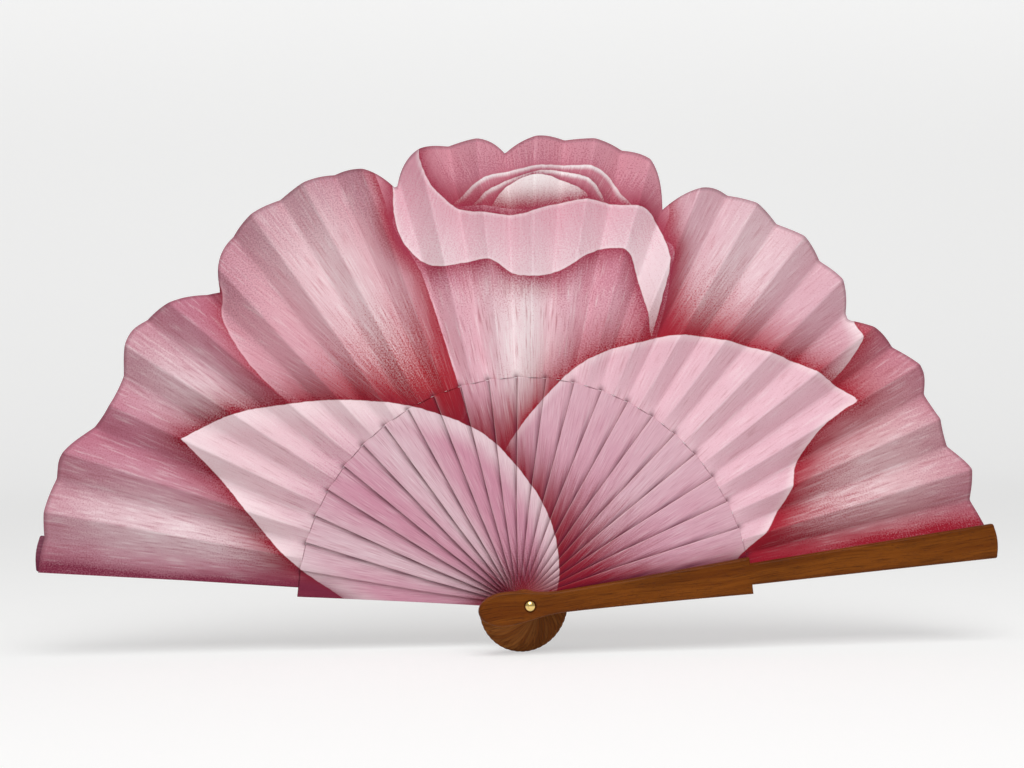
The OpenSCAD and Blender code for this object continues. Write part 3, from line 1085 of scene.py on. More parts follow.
@dataclass(frozen=True)
class ClothFinish(Finish):
    """Fine cotton, painted on its front, with the paint soaked a little through to the back."""

    bare: str = "E3CDD0"
    edge: str = "6E3040"
    tuck_shade: str = "5A2434"
    # painted shade in the rear creases next to the leaf's inner edge
    gap: str = "B0707F"
    soaked: float = 0.35
    thread: float = 0.42 * MM
    stipple: float = 1.0
    weave_depth: float = 0.07 * MM

    def make_with(self, painting: Painting) -> bpy.types.Material:
        """Make the material with the rose on it.

        Args:
            painting: The rose.

        Returns:
            The painted cloth.
        """
        material, w, surface = self.start()
        place = w.stored("fan_place").outputs["Vector"]
        x, _, z = w.parts(place)
        rate = 2 * math.pi / self.thread
        warp = w.math("SINE", w.times(x, rate))
        weft = w.math("SINE", w.times(z, rate))
        weave = w.times(warp, weft)
        brushed = w.noise(place, 900, 4)
        colour = painting.colour(w, self.stipple)
        behind = w.mix(self.soaked, paint(self.bare), colour)
        colour = w.mix(w.stored("cloth_back").outputs["Fac"], colour, behind)
        dark_edge = w.times(w.stored("cut_edge").outputs["Fac"], 0.55)
        colour = w.mix(dark_edge, colour, paint(self.edge))
        # painted shade in the rear creases next to the leaf's inner edge
        colour = w.mix(w.times(w.stored("tuck_shade").outputs["Fac"], 0.8), colour, paint(self.tuck_shade))
        thin = w.times(w.span(weave, 0.2, 1.0), 0.10)
        colour = w.mix(thin, colour, paint(self.gap))
        w.feed(surface.inputs["Base Color"], colour)
        height = w.plus(w.times(weave, 0.25), w.times(brushed, 1.1))
        self.relief(w, surface, height, self.weave_depth)
        return material


@dataclass(frozen=True)
class BrassFinish(Finish):
    """Polished brass with a little tarnish and faint turning marks."""

    metal: str = "F2D48A"
    tarnish: str = "C89A4C"
    turning_depth: float = 0.004 * MM

    def make(self) -> bpy.types.Material:
        """Make the material.

        Returns:
            The brass.
        """
        material, w, surface = self.start()
        surface.inputs["Metallic"].default_value = 1.0
        place = w.add("TexCoord", {}).outputs["Object"]
        spots = w.span(w.noise(place, 900, 3), 0.5, 0.8)
        w.feed(surface.inputs["Base Color"],
               w.mix(w.times(spots, 0.5), paint(self.metal), paint(self.tarnish)))
        x, _, z = w.parts(place)
        off = w.math("SQRT", w.plus(w.times(x, x), w.times(z, z)))
        rings = w.noise(w.vector(off, 0.0, 0.0), 9000, 1)
        self.relief(w, surface, rings, self.turning_depth)
        return material


# ---------------------------------------------------------------- sticks


class Side(Enum):
    """The two sides of the stack of sticks."""

    FRONT = -1
    REAR = 1


@dataclass
class StickHead:
    """The round head below the rivet and the neck above it, which every stick has."""

    length: float
    half: float
    drop: float
    waist_at: float
    waist_half: float

    def stations(self) -> Array:
        """Give distances along the stick, close together round the head.

        Returns:
            The distances from the rivet, from the head's end to the waist.
        """
        turn = np.radians(np.arange(0, 90, 6))
        head = -self.drop - (self.length - self.drop) * np.cos(turn)
        return np.concatenate([head, np.linspace(-self.drop, self.waist_at, 13)])

    def half_width(self, x: Array) -> Array:
        """Give half the stick's width at distances from the rivet, up to the waist.

        Args:
            x: Distances from the rivet, below 0 on the head's side.

        Returns:
            Half the width at each distance.
        """
        round_part = 1 - ((x + self.drop) / (self.length - self.drop)) ** 2
        head = self.half * np.sqrt(np.maximum(0, round_part))
        t = np.clip((x + self.drop) / (self.waist_at + self.drop), 0, 1)
        neck = self.waist_half + (self.half - self.waist_half) * (0.5 + 0.5 * np.cos(math.pi * t))
        return np.where(x < -self.drop, head, neck)


FACE_MARGIN = 0.2 * MM  # how far behind a front face a point still counts as part of it


def store_grain(piece: bpy.types.Object, stick: int, angle: float) -> Array:
    """Store where each point lies in its stick, so that the grain runs along it.

    Args:
        piece: The stick.
        stick: Its number, which gives it its own cut of the wood.
        angle: Its angle in degrees.

    Returns:
        The points in the stick's own frame: along, through and across.
    """
    local = swung(corners_of(piece), -angle)
    keep_values(piece, "stick_grain", local + stick * np.array([0.31, 0.017, 0.043]))
    return local


@dataclass
class Guard:
    """One of the two thick end sticks, with its head, handle, shoulder and blade."""

    plan: FanPlan
    side: Side
    bare: bpy.types.Material
    painted: bpy.types.Material
    shoulder_half: float = 7.9 * MM
    widening: float = 1.25
    outer_ease: float = 1.1 * MM
    inner_ease: float = 0.35 * MM
    tip_ease: float = 0.9 * MM
    front_seat: float = 2.75 * MM
    front_seat_depth: float = 0.5 * MM
    rear_seat: float = 3.5 * MM
    rear_seat_depth: float = 1.32 * MM
    paint_from: float = 9 * MM
    paint_fade: float = 4 * MM
    dark_tip: float = 3 * MM

    def head(self) -> StickHead:
        """Give the guard's head and neck."""
        return StickHead(length=21.9 * MM, half=7.1 * MM, drop=self.plan.head_drop,
                         waist_at=13 * MM, waist_half=4.6 * MM)

    def loft(self) -> Loft:
        """Give the guard's sections, from the end of its head to its tip.

        Returns:
            The sections: head, neck, widening handle, shoulder, and the thinner blade.
        """
        plan, head = self.plan, self.head()
        in_front = self.side is Side.FRONT
        neck = head.stations()
        up_to = np.linspace(head.waist_at, plan.shoulder_at - 2 * MM, 42)
        handle = np.append(up_to[1:], plan.shoulder_at)
        grip = head.waist_half + (self.shoulder_half - head.waist_half) * (
            (handle - head.waist_at) / (plan.shoulder_at - head.waist_at)) ** self.widening
        tip = plan.tip_at - self.tip_ease * (1 - np.sin(np.radians(np.linspace(0, 90, 5))))
        blade = np.concatenate([[plan.shoulder_at],
                                np.linspace(plan.shoulder_at + 3 * MM, plan.tip_at - 2 * MM, 36), tip])
        half = plan.blade_half(blade)
        shift = plan.blade_shift if in_front else -plan.blade_shift
        wide = np.concatenate([head.half_width(neck), grip])
        along = np.concatenate([neck, handle, blade])
        inner = np.where(np.arange(len(along)) < len(wide), plan.guard_inner, plan.blade_inner)
        outer = np.full(len(along), plan.guard_outer)
        outer_ease = np.full(len(along), self.outer_ease)
        inner_ease = np.full(len(along), self.inner_ease)
        return Loft(
            along, np.concatenate([-wide, shift - half]), np.concatenate([wide, shift + half]),
            front=-outer if in_front else inner, back=-inner if in_front else outer,
            front_ease=outer_ease if in_front else inner_ease,
            back_ease=inner_ease if in_front else outer_ease, lean=np.zeros(len(along)),
            tip_bulge=plan.tip_bulge, bulge_from=plan.shoulder_at, end_ease=self.tip_ease)

    def bore(self, piece: bpy.types.Object) -> None:
        """Drill the hole for the rivet and the wider seat for its head or its washer.

        Args:
            piece: The guard.
        """
        out = self.side.value
        seat, depth = ((self.front_seat, self.front_seat_depth) if self.side is Side.FRONT
                       else (self.rear_seat, self.rear_seat_depth))
        inner, face, beyond = out * self.plan.guard_inner, out * self.plan.guard_outer, out * MM
        drill(piece, [(self.plan.bore, inner - beyond, face + beyond),
                      (seat, face - out * depth, face + beyond)])

    def build(self, painting: Painting) -> bpy.types.Object:
        """Carve, drill and dress the guard.

        Args:
            painting: The rose, which the rear guard's inner face takes.

        Returns:
            The finished guard.
        """
        in_front = self.side is Side.FRONT
        stick = 0 if in_front else self.plan.sticks
        angle = self.plan.angle(stick)
        node = "front_guard" if in_front else "rear_guard"
        piece = self.loft().build("carved_" + node, angle)
        self.bore(piece)
        soften(piece)
        local = store_grain(piece, stick, angle)
        if not in_front:
            self.prime(piece, local, painting)
        piece.data.materials.append(self.bare if in_front else self.painted)
        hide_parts(node)
        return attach(piece, node)

    def prime(self, piece: bpy.types.Object, local: Array, painting: Painting) -> None:
        """Mark the rear guard's inner face and its tip as painted, and lay the rose out on it.

        Args:
            piece: The guard.
            local: Its points in its own frame.
            painting: The rose.
        """
        inner = local[:, 1] < self.plan.blade_inner + FACE_MARGIN
        tip = local[:, 0] > self.plan.tip_at - self.dark_tip
        brushed = ease((local[:, 0] - self.paint_from) / self.paint_fade)
        keep_values(piece, "painted", np.where(inner | tip, brushed, 0))
        # the tip takes the same dark plum as the ribs' painted shade
        keep_values(piece, "corner", tip.astype(float))
        keep_values(piece, "worn_and_highlit_edge", np.zeros(len(local)))
        painting.lay_out(piece)


@dataclass
class Rib:
    """One thin stick: head, painted shank with shoulders, and the slat that carries the leaf."""

    plan: FanPlan
    stick: int
    finish: bpy.types.Material
    bend_at: float = 42 * MM
    bend_half: float = 5.9 * MM
    shoulder_half: float = 8.5 * MM
    front_ease: float = 0.28 * MM
    back_ease: float = 0.1 * MM
    slat_ease: float = 0.08 * MM
    paint_from: float = 3 * MM
    paint_fade: float = 3 * MM
    rim_width: float = 0.3 * MM
    rim_to: float = 4 * MM
    # pale edges: worn paint with a painted highlight
    worn_and_highlit_width: float = 0.35 * MM
    worn_and_highlit_from: float = 12 * MM
    worn_and_highlit_fade: float = 40 * MM
    # painted shade on the rib along the edge of the stick in front of it
    corner_shade_width: float = 0.9 * MM
    corner_shade_from: float = 5 * MM
    corner_shade_fade: float = 10 * MM

    def head(self) -> StickHead:
        """Give the rib's head and neck."""
        return StickHead(length=21.4 * MM, half=6.9 * MM, drop=self.plan.head_drop,
                         waist_at=11 * MM, waist_half=3.5 * MM)

    def slat(self) -> tuple[Array, Array, Array, Array]:
        """Work out the slat behind the glued panel.

        Returns:
            Distances from the rivet, half widths, and the middle and the lean along the rivet.
        """
        plan, k = self.plan, self.stick
        sides = plan.angle(k) + plan.half_glued * np.linspace(-1, 1, 5)
        end = float(plan.leaf_out(sides).min()) - plan.slat_setback
        r = np.concatenate([[plan.shoulder_at], np.linspace(plan.pleat_from, end, 40)])
        share = (r - r[0]) / (end - r[0])
        half = plan.slat_root_half + (plan.slat_tip_half - plan.slat_root_half) * share
        side = np.degrees(np.arcsin(half / r)) / plan.half_glued
        valley, ridge = plan.valley_y(k, r), plan.ridge_y(k, r)
        middle, lean = (valley + ridge) / 2 + plan.leaf_back, (ridge - valley) / 2 * side
        middle[0], lean[0] = plan.layer_y(k), 0
        return r, half, middle, lean

    def outline(self) -> tuple[Array, Array]:
        """Give distances along the rib up to its shoulder, and half its width there.

        Returns:
            The distances and the half widths.
        """
        head = self.head()
        neck, end = head.stations(), self.plan.shoulder_at
        shank = np.append(np.linspace(head.waist_at, end - 0.8 * MM, 46)[1:], end)
        grip = np.interp(shank, [head.waist_at, self.bend_at, end],
                         [head.waist_half, self.bend_half, self.shoulder_half])
        return np.append(neck, shank), np.append(head.half_width(neck), grip)

    def loft(self) -> Loft:
        """Give the rib's sections, from the end of its head to the end of its slat.

        Returns:
            The sections: head, neck and shank of the rib's full thickness, then the thin slat.
        """
        plan = self.plan
        wood, wood_half = self.outline()
        r, slat_half, middle, lean = self.slat()
        along = np.concatenate([wood, r])
        half = np.concatenate([wood_half, slat_half])
        is_slat = np.arange(len(along)) >= len(wood)
        thick = np.where(is_slat, plan.slat_t, plan.rib_t)
        centre = np.concatenate([np.full(len(wood), plan.layer_y(self.stick)), middle])
        thinner = plan.slat_taper * np.clip((along - plan.shoulder_at) / (r[-1] - plan.shoulder_at), 0, 1)
        return Loft(along, -half, half, front=centre - thick / 2, back=centre + thick / 2 - thinner,
                    front_ease=np.where(is_slat, self.slat_ease, self.front_ease),
                    back_ease=np.where(is_slat, self.slat_ease, self.back_ease),
                    lean=np.concatenate([np.zeros(len(wood)), lean]))

    def mark(self, piece: bpy.types.Object, local: Array) -> None:
        """Store where the rib is painted, its worn edges with their painted highlight, and its painted
        shade.

        Args:
            piece: The rib.
            local: Its points in its own frame: along, through and across.
        """
        along, y, off = local[:, 0], local[:, 1], np.abs(local[:, 2])
        end, head = self.plan.shoulder_at, self.head()
        front = (y < self.plan.layer_y(self.stick) + FACE_MARGIN) & (along < end + 0.1 * MM)
        brushed = ease((along - self.paint_from) / self.paint_fade)
        keep_values(piece, "painted", np.where(front, brushed, 0))
        # painted shade: a dark line round the head, where the heads lie one over the other
        rim = np.clip(1 - (head.half_width(along) - off) / self.rim_width, 0, 1)
        round_end = np.clip(1 - (along + head.length) / self.rim_width, 0, 1)
        on_head = ease((self.rim_to - along) / self.rim_to)
        keep_values(piece, "head_rim_shade", np.maximum(rim, round_end) * on_head)
        stations, half = self.outline()
        shank = stations > head.waist_at
        width = np.interp(along, stations[shank], half[shank])
        # pale along both edges: worn paint with a painted highlight
        worn_and_highlit = np.clip(1 - (width - off) / self.worn_and_highlit_width, 0, 1)
        worn_and_highlit *= ease((along - self.worn_and_highlit_from) / self.worn_and_highlit_fade) * (along < end - 0.5 * MM)
        keep_values(piece, "worn_and_highlit_edge", worn_and_highlit)
        # painted shade: dark along the edge of the stick in front, where that stick shades this rib
        beside = swung(local, self.plan.pitch)
        gap = beside[:, 2] - np.interp(beside[:, 0], stations, half)
        dark_share = np.exp(-(gap / self.corner_shade_width) ** 2)
        dark_share *= ease((beside[:, 0] - self.corner_shade_from) / self.corner_shade_fade)
        keep_values(piece, "corner", dark_share)

    def build(self, painting: Painting) -> bpy.types.Object:
        """Cut, drill and paint the rib.

        Args:
            painting: The rose that runs over its front.

        Returns:
            The finished rib.
        """
        angle, y = self.plan.angle(self.stick), self.plan.layer_y(self.stick)
        piece = self.loft().build(f"painted_rib_{self.stick:02d}", angle)
        drill(piece, [(self.plan.bore, y - self.plan.rib_t, y + self.plan.rib_t)])
        soften(piece, 35)
        self.mark(piece, store_grain(piece, self.stick, angle))
        painting.lay_out(piece)
        piece.data.materials.append(self.finish)
        node = f"rib_{self.stick:02d}"
        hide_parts(node)
        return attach(piece, node)


@dataclass
class Rivet:
    """The pin with its domed head, the washer behind the rear guard, and the pressed cap."""

    plan: FanPlan
    brass: bpy.types.Material
    shaft: float = 1.5 * MM
    head: float = 2.45 * MM
    head_h: float = 1.5 * MM
    seat: float = 0.5 * MM
    washer: float = 3.2 * MM
    washer_t: float = 0.5 * MM
    cap: float = 2.6 * MM
    cap_t: float = 0.7 * MM
    sink: float = 0.1 * MM
    fit: float = 0.05 * MM
    chamfer: float = 0.12 * MM
    tail_chamfer: float = 0.2 * MM

    def dress(self, piece: bpy.types.Object, node: str) -> bpy.types.Object:
        """Give a turned piece its brass, and let it ride on the front guard.

        Args:
            piece: The piece.
            node: The plain solid that it stands for.

        Returns:
            The piece.
        """
        piece.data.materials.append(self.brass)
        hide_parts(node)
        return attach(piece, "front_guard")

    def ring(self, name: str, hole: float, outer: float, start: float, thick: float) -> bpy.types.Object:
        """Turn a flat ring with small chamfers.

        Args:
            name: The piece's name.
            hole: Radius of its hole.
            outer: Its outer radius.
            start: Where it starts along the rivet.
            thick: Its thickness.

        Returns:
            The ring.
        """
        c, end = self.chamfer, start + thick
        return turned(name, [(hole, start), (outer - c, start), (outer, start + c), (outer, end - c),
                             (outer - c, end), (hole, end), (hole, start)])

    def build(self) -> list[bpy.types.Object]:
        """Turn the three pieces.

        Returns:
            The pin, the washer and the cap.
        """
        face = -self.plan.guard_outer + self.seat
        tail = self.plan.guard_outer - self.sink
        cap_at = tail - self.cap_t
        dome_r = (self.head ** 2 + self.head_h ** 2) / (2 * self.head_h)
        bow = [(dome_r * math.sin(a), face - self.head_h + dome_r * (1 - math.cos(a)))
               for a in np.linspace(0, math.asin(self.head / dome_r), 12)]
        profile = bow[:-1] + [(self.head, face - self.chamfer), (self.head - self.chamfer, face),
                              (self.shaft, face), (self.shaft, tail - self.tail_chamfer),
                              (self.shaft - self.tail_chamfer, tail), (0.0, tail)]
        pin = turned("rivet_pin_turned", profile)
        washer = self.ring("rivet_washer_turned", self.shaft + self.fit, self.washer,
                           cap_at - self.washer_t, self.washer_t)
        cap = self.ring("rivet_cap_turned", self.shaft, self.cap, cap_at, self.cap_t)
        return [self.dress(piece, node)
                for piece, node in ((pin, "rivet_pin"), (washer, "rivet_washer"), (cap, "rivet_cap"))]


# ---------------------------------------------------------------- leaf


@dataclass
class Leaf:
    """The pleated cloth, cut at each rear crease into the pieces that the sticks carry."""

    plan: FanPlan
    cloth: bpy.types.Material
    rows: int = 58
    crease: float = 0.3
    ripple: float = 0.10 * MM
    emboss: float = 0.07 * MM
    emboss_fade: float = 1.2 * MM
    margin: float = 0.035 * MM
    dark_edge: float = 0.9 * MM
    # size of the painted shade in the rear creases next to the leaf's inner edge
    tuck_shade_high: float = 1.6 * MM
    tuck_shade_wide: float = 1.3 * MM
    wide_end: float = 1.35

    def panel_steps(self, width: float) -> Array:
        """Give places across a panel as shares of its width, close together at its creases.

        Args:
            width: The panel's width in degrees.

        Returns:
            The shares, from 0 to 1.
        """
        near = np.array([0, 0.35, 0.7, 1.0]) * self.crease / width
        middle = np.linspace(near[-1], 1 - near[-1], 9)[1:-1]
        return np.concatenate([near, middle, 1 - near[::-1]])

    def rounding(self, off: Array, turn: Array) -> Array:
        """Give how far a crease is rounded off, at angles off it, for a change of slope there."""
        short = np.maximum(0, self.crease - np.abs(off))
        return turn * short ** 2 / (4 * self.crease)

    def slopes(self, k: int, r: Array) -> tuple[Array, Array]:
        """Give the slopes, for each degree, of a stick's glued and free panels, flat past the ends.

        Args:
            k: The stick's number.
            r: Distances from the rivet.

        Returns:
            The glued panel's slopes and the free panel's.
        """
        plan = self.plan
        if not 0 <= k < plan.sticks:
            return np.zeros_like(r), np.zeros_like(r)
        glued = (plan.ridge_y(k, r) - plan.valley_y(k, r)) / plan.glued_width
        free = (plan.valley_y(k + 1, r) - plan.ridge_y(k, r)) / plan.free_width
        return glued, free

    def off_crease(self, share: float) -> float:
        """Give 0 at a panel's creases and 1 over its middle half, at a share of its width."""
        return min(1.0, 4 * max(0.0, min(share, 1 - share)))

    def glued_y(self, k: int, angle: float, r: Array) -> Array:
        """Give the cloth's place on a glued panel, at one angle.

        Args:
            k: The stick's number.
            angle: The angle from the level, in degrees.
            r: Distances from the rivet.

        Returns:
            The place along the rivet at each distance.
        """
        plan = self.plan
        off = angle - plan.angle(k)
        share = (off / plan.half_glued + 1) / 2
        y = plan.valley_y(k, r) * (1 - share) + plan.ridge_y(k, r) * share
        glued, free = self.slopes(k, r)
        before = self.slopes(k - 1, r)[1]
        y = y + self.rounding(off - plan.half_glued, free - glued)
        y = y + self.rounding(off + plan.half_glued, glued - before)
        slat = np.interp(r, [plan.shoulder_at, plan.tip_at], [plan.slat_root_half, plan.slat_tip_half])
        from_slat = np.abs(np.radians(off) * r) - slat
        raised = self.emboss * (1 - ease(from_slat / self.emboss_fade + 0.5))
        forward = (raised + self.waves(angle, r)) * self.off_crease(share)
        return y - np.minimum(1, self.room_ahead(k, r) / (self.emboss + self.ripple)) * forward

    def room_ahead(self, k: int, r: Array) -> Array:
        """Give the free room before a glued panel when the fan is closed, less a margin.

        Args:
            k: The stick's number.
            r: Distances from the rivet.

        Returns:
            The room at each distance, never below 0.
        """
        plan = self.plan
        lean = plan.forward_share(k) - plan.forward_share(k - 1) if k else 0.0
        room = plan.layer - plan.leaf_back - (plan.slat_t + plan.leaf_t) / 2 - lean * plan.pleat_depth(r)
        taper = plan.slat_taper * (r - plan.shoulder_at) / (plan.tip_at - plan.shoulder_at)
        return np.maximum(0, room + taper - self.margin)

    def free_y(self, k: int, u: float, r: Array) -> Array:
        """Give the cloth's place on a free panel, at a share of its width.

        Args:
            k: The stick's number.
            u: The share of the panel's width.
            r: Distances from the rivet.

        Returns:
            The place along the rivet at each distance.
        """
        plan = self.plan
        y = plan.ridge_y(k, r) * (1 - u) + plan.valley_y(k + 1, r) * u + plan.belly * 4 * u * (1 - u)
        glued, free = self.slopes(k, r)
        after = self.slopes(k + 1, r)[0]
        y = y + self.rounding(u * plan.free_width, free - glued)
        y = y + self.rounding((1 - u) * plan.free_width, after - free)
        angle = plan.angle(k) + plan.half_glued + u * plan.free_width
        return y + self.waves(angle, r) * 2 * self.off_crease(u)

    def waves(self, angle: float, r: Array) -> Array:
        """Give the small unevenness of cloth that was brushed by hand, never below 0.

        Args:
            angle: The angle from the level, in degrees.
            r: Distances from the rivet.

        Returns:
            How far the cloth stands forward.
        """
        along = r / MM
        return self.ripple * (0.5 + 0.25 * np.sin(along / 6.1 + angle * 1.7)
                              + 0.25 * np.sin(along / 2.9 - angle * 2.9 + 1.3))

    def sheet_mesh(self, name: str, angles: Array, y_at: Sequence[Array], ends: Array) -> bpy.types.Object:
        """Make a sheet of the cloth's thickness from columns of points.

        Args:
            name: The piece's name.
            angles: The angle of each column.
            y_at: The places along the rivet of each column's points.
            ends: The radius at which each column ends.

        Returns:
            The closed sheet.
        """
        middle = np.stack([polar(self.radii(end), angle, y) for angle, y, end in zip(angles, y_at, ends)])
        half = np.array([0, self.plan.leaf_t / 2, 0])
        points = np.concatenate([(middle - half).reshape(-1, 3), (middle + half).reshape(-1, 3)])
        cols, rows = len(angles), self.rows
        back = cols * rows
        faces = []
        for i in range(cols - 1):
            for j in range(rows - 1):
                a = i * rows + j
                faces.append((a, a + 1, a + rows + 1, a + rows))
                faces.append((back + a, back + a + rows, back + a + rows + 1, back + a + 1))
        rim = ([i * rows for i in range(cols)] + [(cols - 1) * rows + j for j in range(1, rows)]
               + [i * rows + rows - 1 for i in range(cols - 2, -1, -1)] + list(range(rows - 2, 0, -1)))
        faces += [(a, b, b + back, a + back) for a, b in zip(rim, rim[1:] + rim[:1])]
        piece = make_mesh(name, points, faces)
        soften(piece, 60)
        return piece

    def radii(self, end: float) -> Array:
        """Give the radii of one column's points."""
        return self.plan.leaf_in + (end - self.plan.leaf_in) * np.linspace(0, 1, self.rows)

    def pleat(self, k: int) -> bpy.types.Object:
        """Make the glued panel of a stick and the free panel that folds on to the next one.

        Args:
            k: The stick's number.

        Returns:
            The piece.
        """
        plan = self.plan
        glued = self.panel_steps(plan.glued_width)
        free = self.panel_steps(plan.free_width)[1:]
        angles = np.concatenate([plan.angle(k) - plan.half_glued + glued * plan.glued_width,
                                 plan.angle(k) + plan.half_glued + free * plan.free_width])
        ends = plan.cut_edge(angles)
        y_at = [self.glued_y(k, a, self.radii(e)) for a, e in zip(angles[:len(glued)], ends)]
        y_at += [self.free_y(k, u, self.radii(e)) for u, e in zip(free, ends[len(glued):])]
        name = "cloth_start" if k == 0 else f"cloth_pleat_{k:02d}"
        return self.sheet_mesh(name, angles, y_at, ends)

    def finish(self, piece: bpy.types.Object, node: str, painting: Painting, rests: Sequence[str]) -> None:
        """Lay the rose out on a piece and dress it.

        Args:
            piece: The cloth piece.
            node: The plain solid that it stands for.
            painting: The rose.
            rests: Not used.
        """
        painting.lay_out(piece)
        plan, points = self.plan, corners_of(piece)
        angle = np.degrees(np.arctan2(points[:, 2], points[:, 0]))
        r = np.hypot(points[:, 0], points[:, 2])
        keep_values(piece, "cut_edge", np.clip(1 - (plan.cut_edge(angle) - r) / self.dark_edge, 0, 1))
        # painted shade: dark in the rear creases close to the leaf's inner edge, where the cloth tucks
        # against the ribs
        off = (angle - plan.angle(0) + plan.half_glued) % plan.pitch
        off = np.radians(np.minimum(off, plan.pitch - off)) * r
        high = (r - plan.leaf_in) / self.tuck_shade_high
        keep_values(piece, "tuck_shade", np.exp(-high ** 2 - (off / self.tuck_shade_wide) ** 2))
        piece.data.materials.append(self.cloth)
        normals = np.zeros(len(points) * 3, np.float32)
        piece.data.vertices.foreach_get("normal", normals)
        keep_values(piece, "cloth_back", (normals.reshape(-1, 3)[:, 1] > 0.0).astype(float))
        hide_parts(node)

    def build(self, painting: Painting) -> list[bpy.types.Object]:
        """Make the whole leaf.

        Args:
            painting: The rose.

        Returns:
            Its pieces, from the front guard to the rear guard.
        """
        plan = self.plan
        made = []
        for k in range(plan.sticks):
            piece = self.pleat(k)
            node = "leaf_start" if k == 0 else f"leaf_pleat_{k:02d}"
            holder = "carved_front_guard" if k == 0 else f"painted_rib_{k:02d}"
            self.finish(piece, node, painting, [holder])
            self.hinge(piece, k)
            made.append(piece)
        made.append(self.last_strip(painting))
        return made

    def hinge(self, piece: bpy.types.Object, k: int) -> None:
        """Work out where a pleat's free panel starts and ends, and bake the piece's place into its points.

        Args:
            piece: The pleat.
            k: Its stick's number.
        """
        plan = self.plan
        start = plan.angle(k) + plan.half_glued
        middle = np.full(2, (plan.leaf_in + plan.tip_at) / 2)
        ends = polar(middle, np.array([start, start + plan.free_width]), np.zeros(2))
        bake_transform(piece)
        points = corners_of(piece)

    def last_strip(self, painting: Painting) -> bpy.types.Object:
        """Make the last panel, which is glued over the inner face of the rear guard's blade.

        Args:
            painting: The rose.

        Returns:
            The finished strip.
        """
        plan = self.plan
        last = plan.angle(plan.sticks)
        columns = np.linspace(0, 1, 10)
        start = -plan.half_glued
        middle = (plan.leaf_in + plan.tip_at) / 2
        stop = math.degrees(math.asin((plan.blade_half(middle) - plan.blade_shift) / middle))
        angles = last + start + columns * (stop - start)
        ends = np.minimum(plan.cut_edge(angles), plan.tip_at - plan.tip_bulge)
        y_at = []
        for angle, end in zip(angles, ends):
            r = self.radii(end)
            before = self.slopes(plan.sticks - 1, r)[1]
            y_at.append(plan.valley_y(plan.sticks, r) + self.rounding(angle - last - start, -before))
        piece = self.sheet_mesh("cloth_end", angles, y_at, ends)
        self.finish(piece, "leaf_end", painting, ["carved_rear_guard"])
        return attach(piece, "rear_guard")


# ---------------------------------------------------------------- studio


@dataclass(frozen=True)
class TableFinish(Finish):
    """The table's and the backdrop's matt white, which glows a little more towards the back.

    The camera sees a darker colour with a glow of its own, so that the lamp leaves an even table.
    """

    colour: str = "F4F4F3"
    seen_colour: str = "BBBBBA"
    glow: float = 0.48
    back_glow: float = 0.15
    top_glow: float = 0.1

    def make(self, back_y: float) -> bpy.types.Material:
        """Make the material for a backdrop that stands at a distance behind the rivet.

        Args:
            back_y: The backdrop's distance.

        Returns:
            The table's white.
        """
        material, w, surface = self.start()
        path = w.add("LightPath", {}).outputs
        seen = w.math("MAXIMUM", path["Is Camera Ray"], path["Is Glossy Ray"])
        _, y, z = w.parts(w.add("NewGeometry", {}).outputs["Position"])
        behind = w.span(y, 0.3, back_y)
        raised = w.plus(self.back_glow, w.times(w.span(z, 0.5, 1.2), self.top_glow))
        glow = w.plus(self.glow, w.times(behind, raised))
        w.feed(surface.inputs["Base Color"], w.mix(seen, paint(self.colour), paint(self.seen_colour)))
        w.feed(surface.inputs["Emission Color"], paint("FFFFFF"))
        w.feed(surface.inputs["Emission Strength"], w.times(seen, glow))
        return material


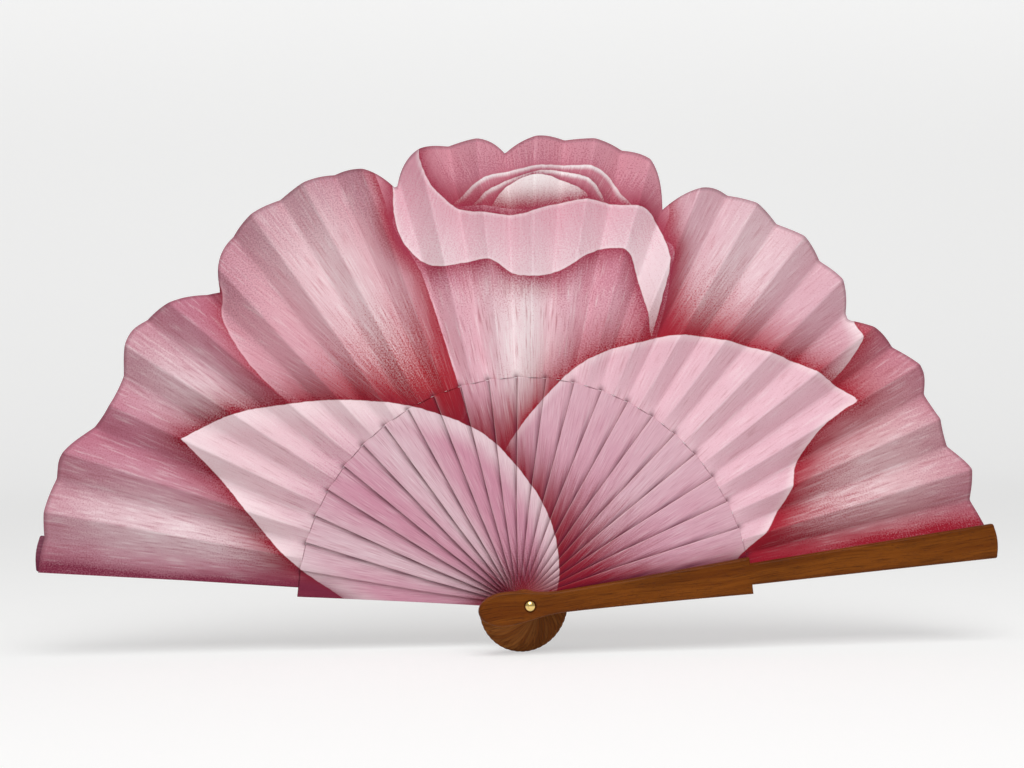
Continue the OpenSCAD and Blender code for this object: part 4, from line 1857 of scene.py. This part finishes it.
@dataclass
class Studio:
    """A pale table that sweeps up into a backdrop, one large soft lamp and a soft room."""

    floor_z: float
    half_width: float = 6.0
    near_y: float = -3.0
    bend_y: float = 1.6
    bend_r: float = 1.2
    top_z: float = 3.4
    lamp_place: tuple[float, float, float] = (-0.05, -0.78, 1.2)
    lamp_aim: tuple[float, float, float] = (0.0, 0.0, 0.1)
    lamp_power: float = 15.5
    lamp_size: float = 1.0
    room_light: float = 0.33
    room_seen: float = 0.88

    def table(self) -> bpy.types.Object:
        """Make the table and backdrop as one sheet.

        Returns:
            The sheet.
        """
        turn = np.radians(np.linspace(0, 90, 25))
        line = [(self.near_y, self.floor_z)]
        line += [(self.bend_y + self.bend_r * math.sin(a), self.floor_z + self.bend_r * (1 - math.cos(a)))
                 for a in turn]
        line.append((self.bend_y + self.bend_r, self.top_z))
        points = np.array([(x, y, z) for y, z in line for x in (-self.half_width, self.half_width)])
        faces = [(2 * i, 2 * i + 1, 2 * i + 3, 2 * i + 2) for i in range(len(line) - 1)]
        sheet = make_mesh("table", points, faces)
        soften(sheet, 80)
        sheet.data.materials.append(TableFinish("pale_table", 0.9, 0.1).make(self.bend_y + self.bend_r))
        return sheet

    def lamp(self) -> None:
        """Hang the square lamp and turn it to the fan."""
        data = bpy.data.lights.new("key_lamp", "AREA")
        data.shape, data.size, data.energy = "SQUARE", self.lamp_size, self.lamp_power
        lamp = bpy.data.objects.new("key_lamp", data)
        lamp.location = self.lamp_place
        way = Vector(self.lamp_aim) - Vector(self.lamp_place)
        lamp.rotation_euler = way.to_track_quat("-Z", "Y").to_euler()
        bpy.context.scene.collection.objects.link(lamp)

    def room(self) -> None:
        """Set the room's own light, which the camera sees brighter than it lights the fan."""
        world = bpy.data.worlds.new("room")
        world.use_nodes = True
        ground = world.node_tree.nodes["Background"]
        ground.inputs["Color"].default_value = (1.0, 1.0, 1.0, 1.0)
        w = Wiring(world.node_tree)
        seen = w.add("LightPath", {}).outputs["Is Camera Ray"]
        raised = w.times(seen, self.room_seen - self.room_light)
        w.feed(ground.inputs["Strength"], w.plus(raised, self.room_light))
        bpy.context.scene.world = world

    def build(self) -> bpy.types.Object:
        """Set the table and the light.

        Returns:
            The table.
        """
        table = self.table()
        self.lamp()
        self.room()
        bpy.context.scene.view_settings.view_transform = "Standard"
        return table


@dataclass
class StudioCamera:
    """The camera: where it looks from, in degrees and metres, and its lens."""

    azimuth: float = -7.79
    elevation: float = -0.51
    roll: float = -0.47
    distance: float = 0.778
    target: tuple[float, float, float] = (-0.0047, 0.0, 0.0942)
    lens: float = 63.28

    def build(self) -> bpy.types.Object:
        """Make the camera and use it.

        Returns:
            The camera.
        """
        az, el, roll = (math.radians(a) for a in (self.azimuth, self.elevation, self.roll))
        back = Vector((math.sin(az) * math.cos(el), -math.cos(az) * math.cos(el), math.sin(el)))
        right = (-back).cross(Vector((0, 0, 1))).normalized()
        up = right.cross(-back)
        side = right * math.cos(roll) + up * math.sin(roll)
        top = up * math.cos(roll) - right * math.sin(roll)
        data = bpy.data.cameras.new("camera")
        data.lens, data.sensor_width, data.clip_start = self.lens, 36.0, 0.01
        camera = bpy.data.objects.new("camera", data)
        place = Vector(self.target) + back * self.distance
        camera.matrix_world = Matrix.Translation(place) @ Matrix((side, top, back)).transposed().to_4x4()
        bpy.context.scene.collection.objects.link(camera)
        bpy.context.scene.camera = camera
        return camera


def main() -> None:
    """Build the camera, the studio and every piece of the fan, in order."""
    logging.basicConfig(level=logging.INFO, format="%(name)s: %(message)s")
    plan = FanPlan()
    for thing in (StudioCamera().build(), Studio(floor_z=CAD_BOX[0].z).build()):
        log.info("%s: in place", thing.name)
    painting = Painting(ROSE)
    wood = WoodFinish("oiled_wood", 0.4, 0.1).make()
    painted_guard = PaintedWoodFinish("painted_guard_wood", 0.5, 0.1).make_with(painting)
    painted_rib = PaintedWoodFinish("painted_rib_wood", 0.55, 0.1, pale="A0632C", brown="8A4C1A",
                                    dark="5A300F", rim="341606").make_with(painting)
    cloth = ClothFinish("painted_cotton", 0.8, 0.12).make_with(painting)
    brass = BrassFinish("polished_brass", 0.2, 0.5).make()
    pieces = [Guard(plan, side, wood, painted_guard).build(painting) for side in Side]
    pieces += [Rib(plan, stick, painted_rib).build(painting) for stick in range(1, plan.sticks)]
    pieces += Rivet(plan, brass).build()
    pieces += Leaf(plan, cloth).build(painting)
    for piece in pieces:
        log.info("%s: %d faces", piece.name, len(piece.data.polygons))


if __name__ == "__main__":
    main()
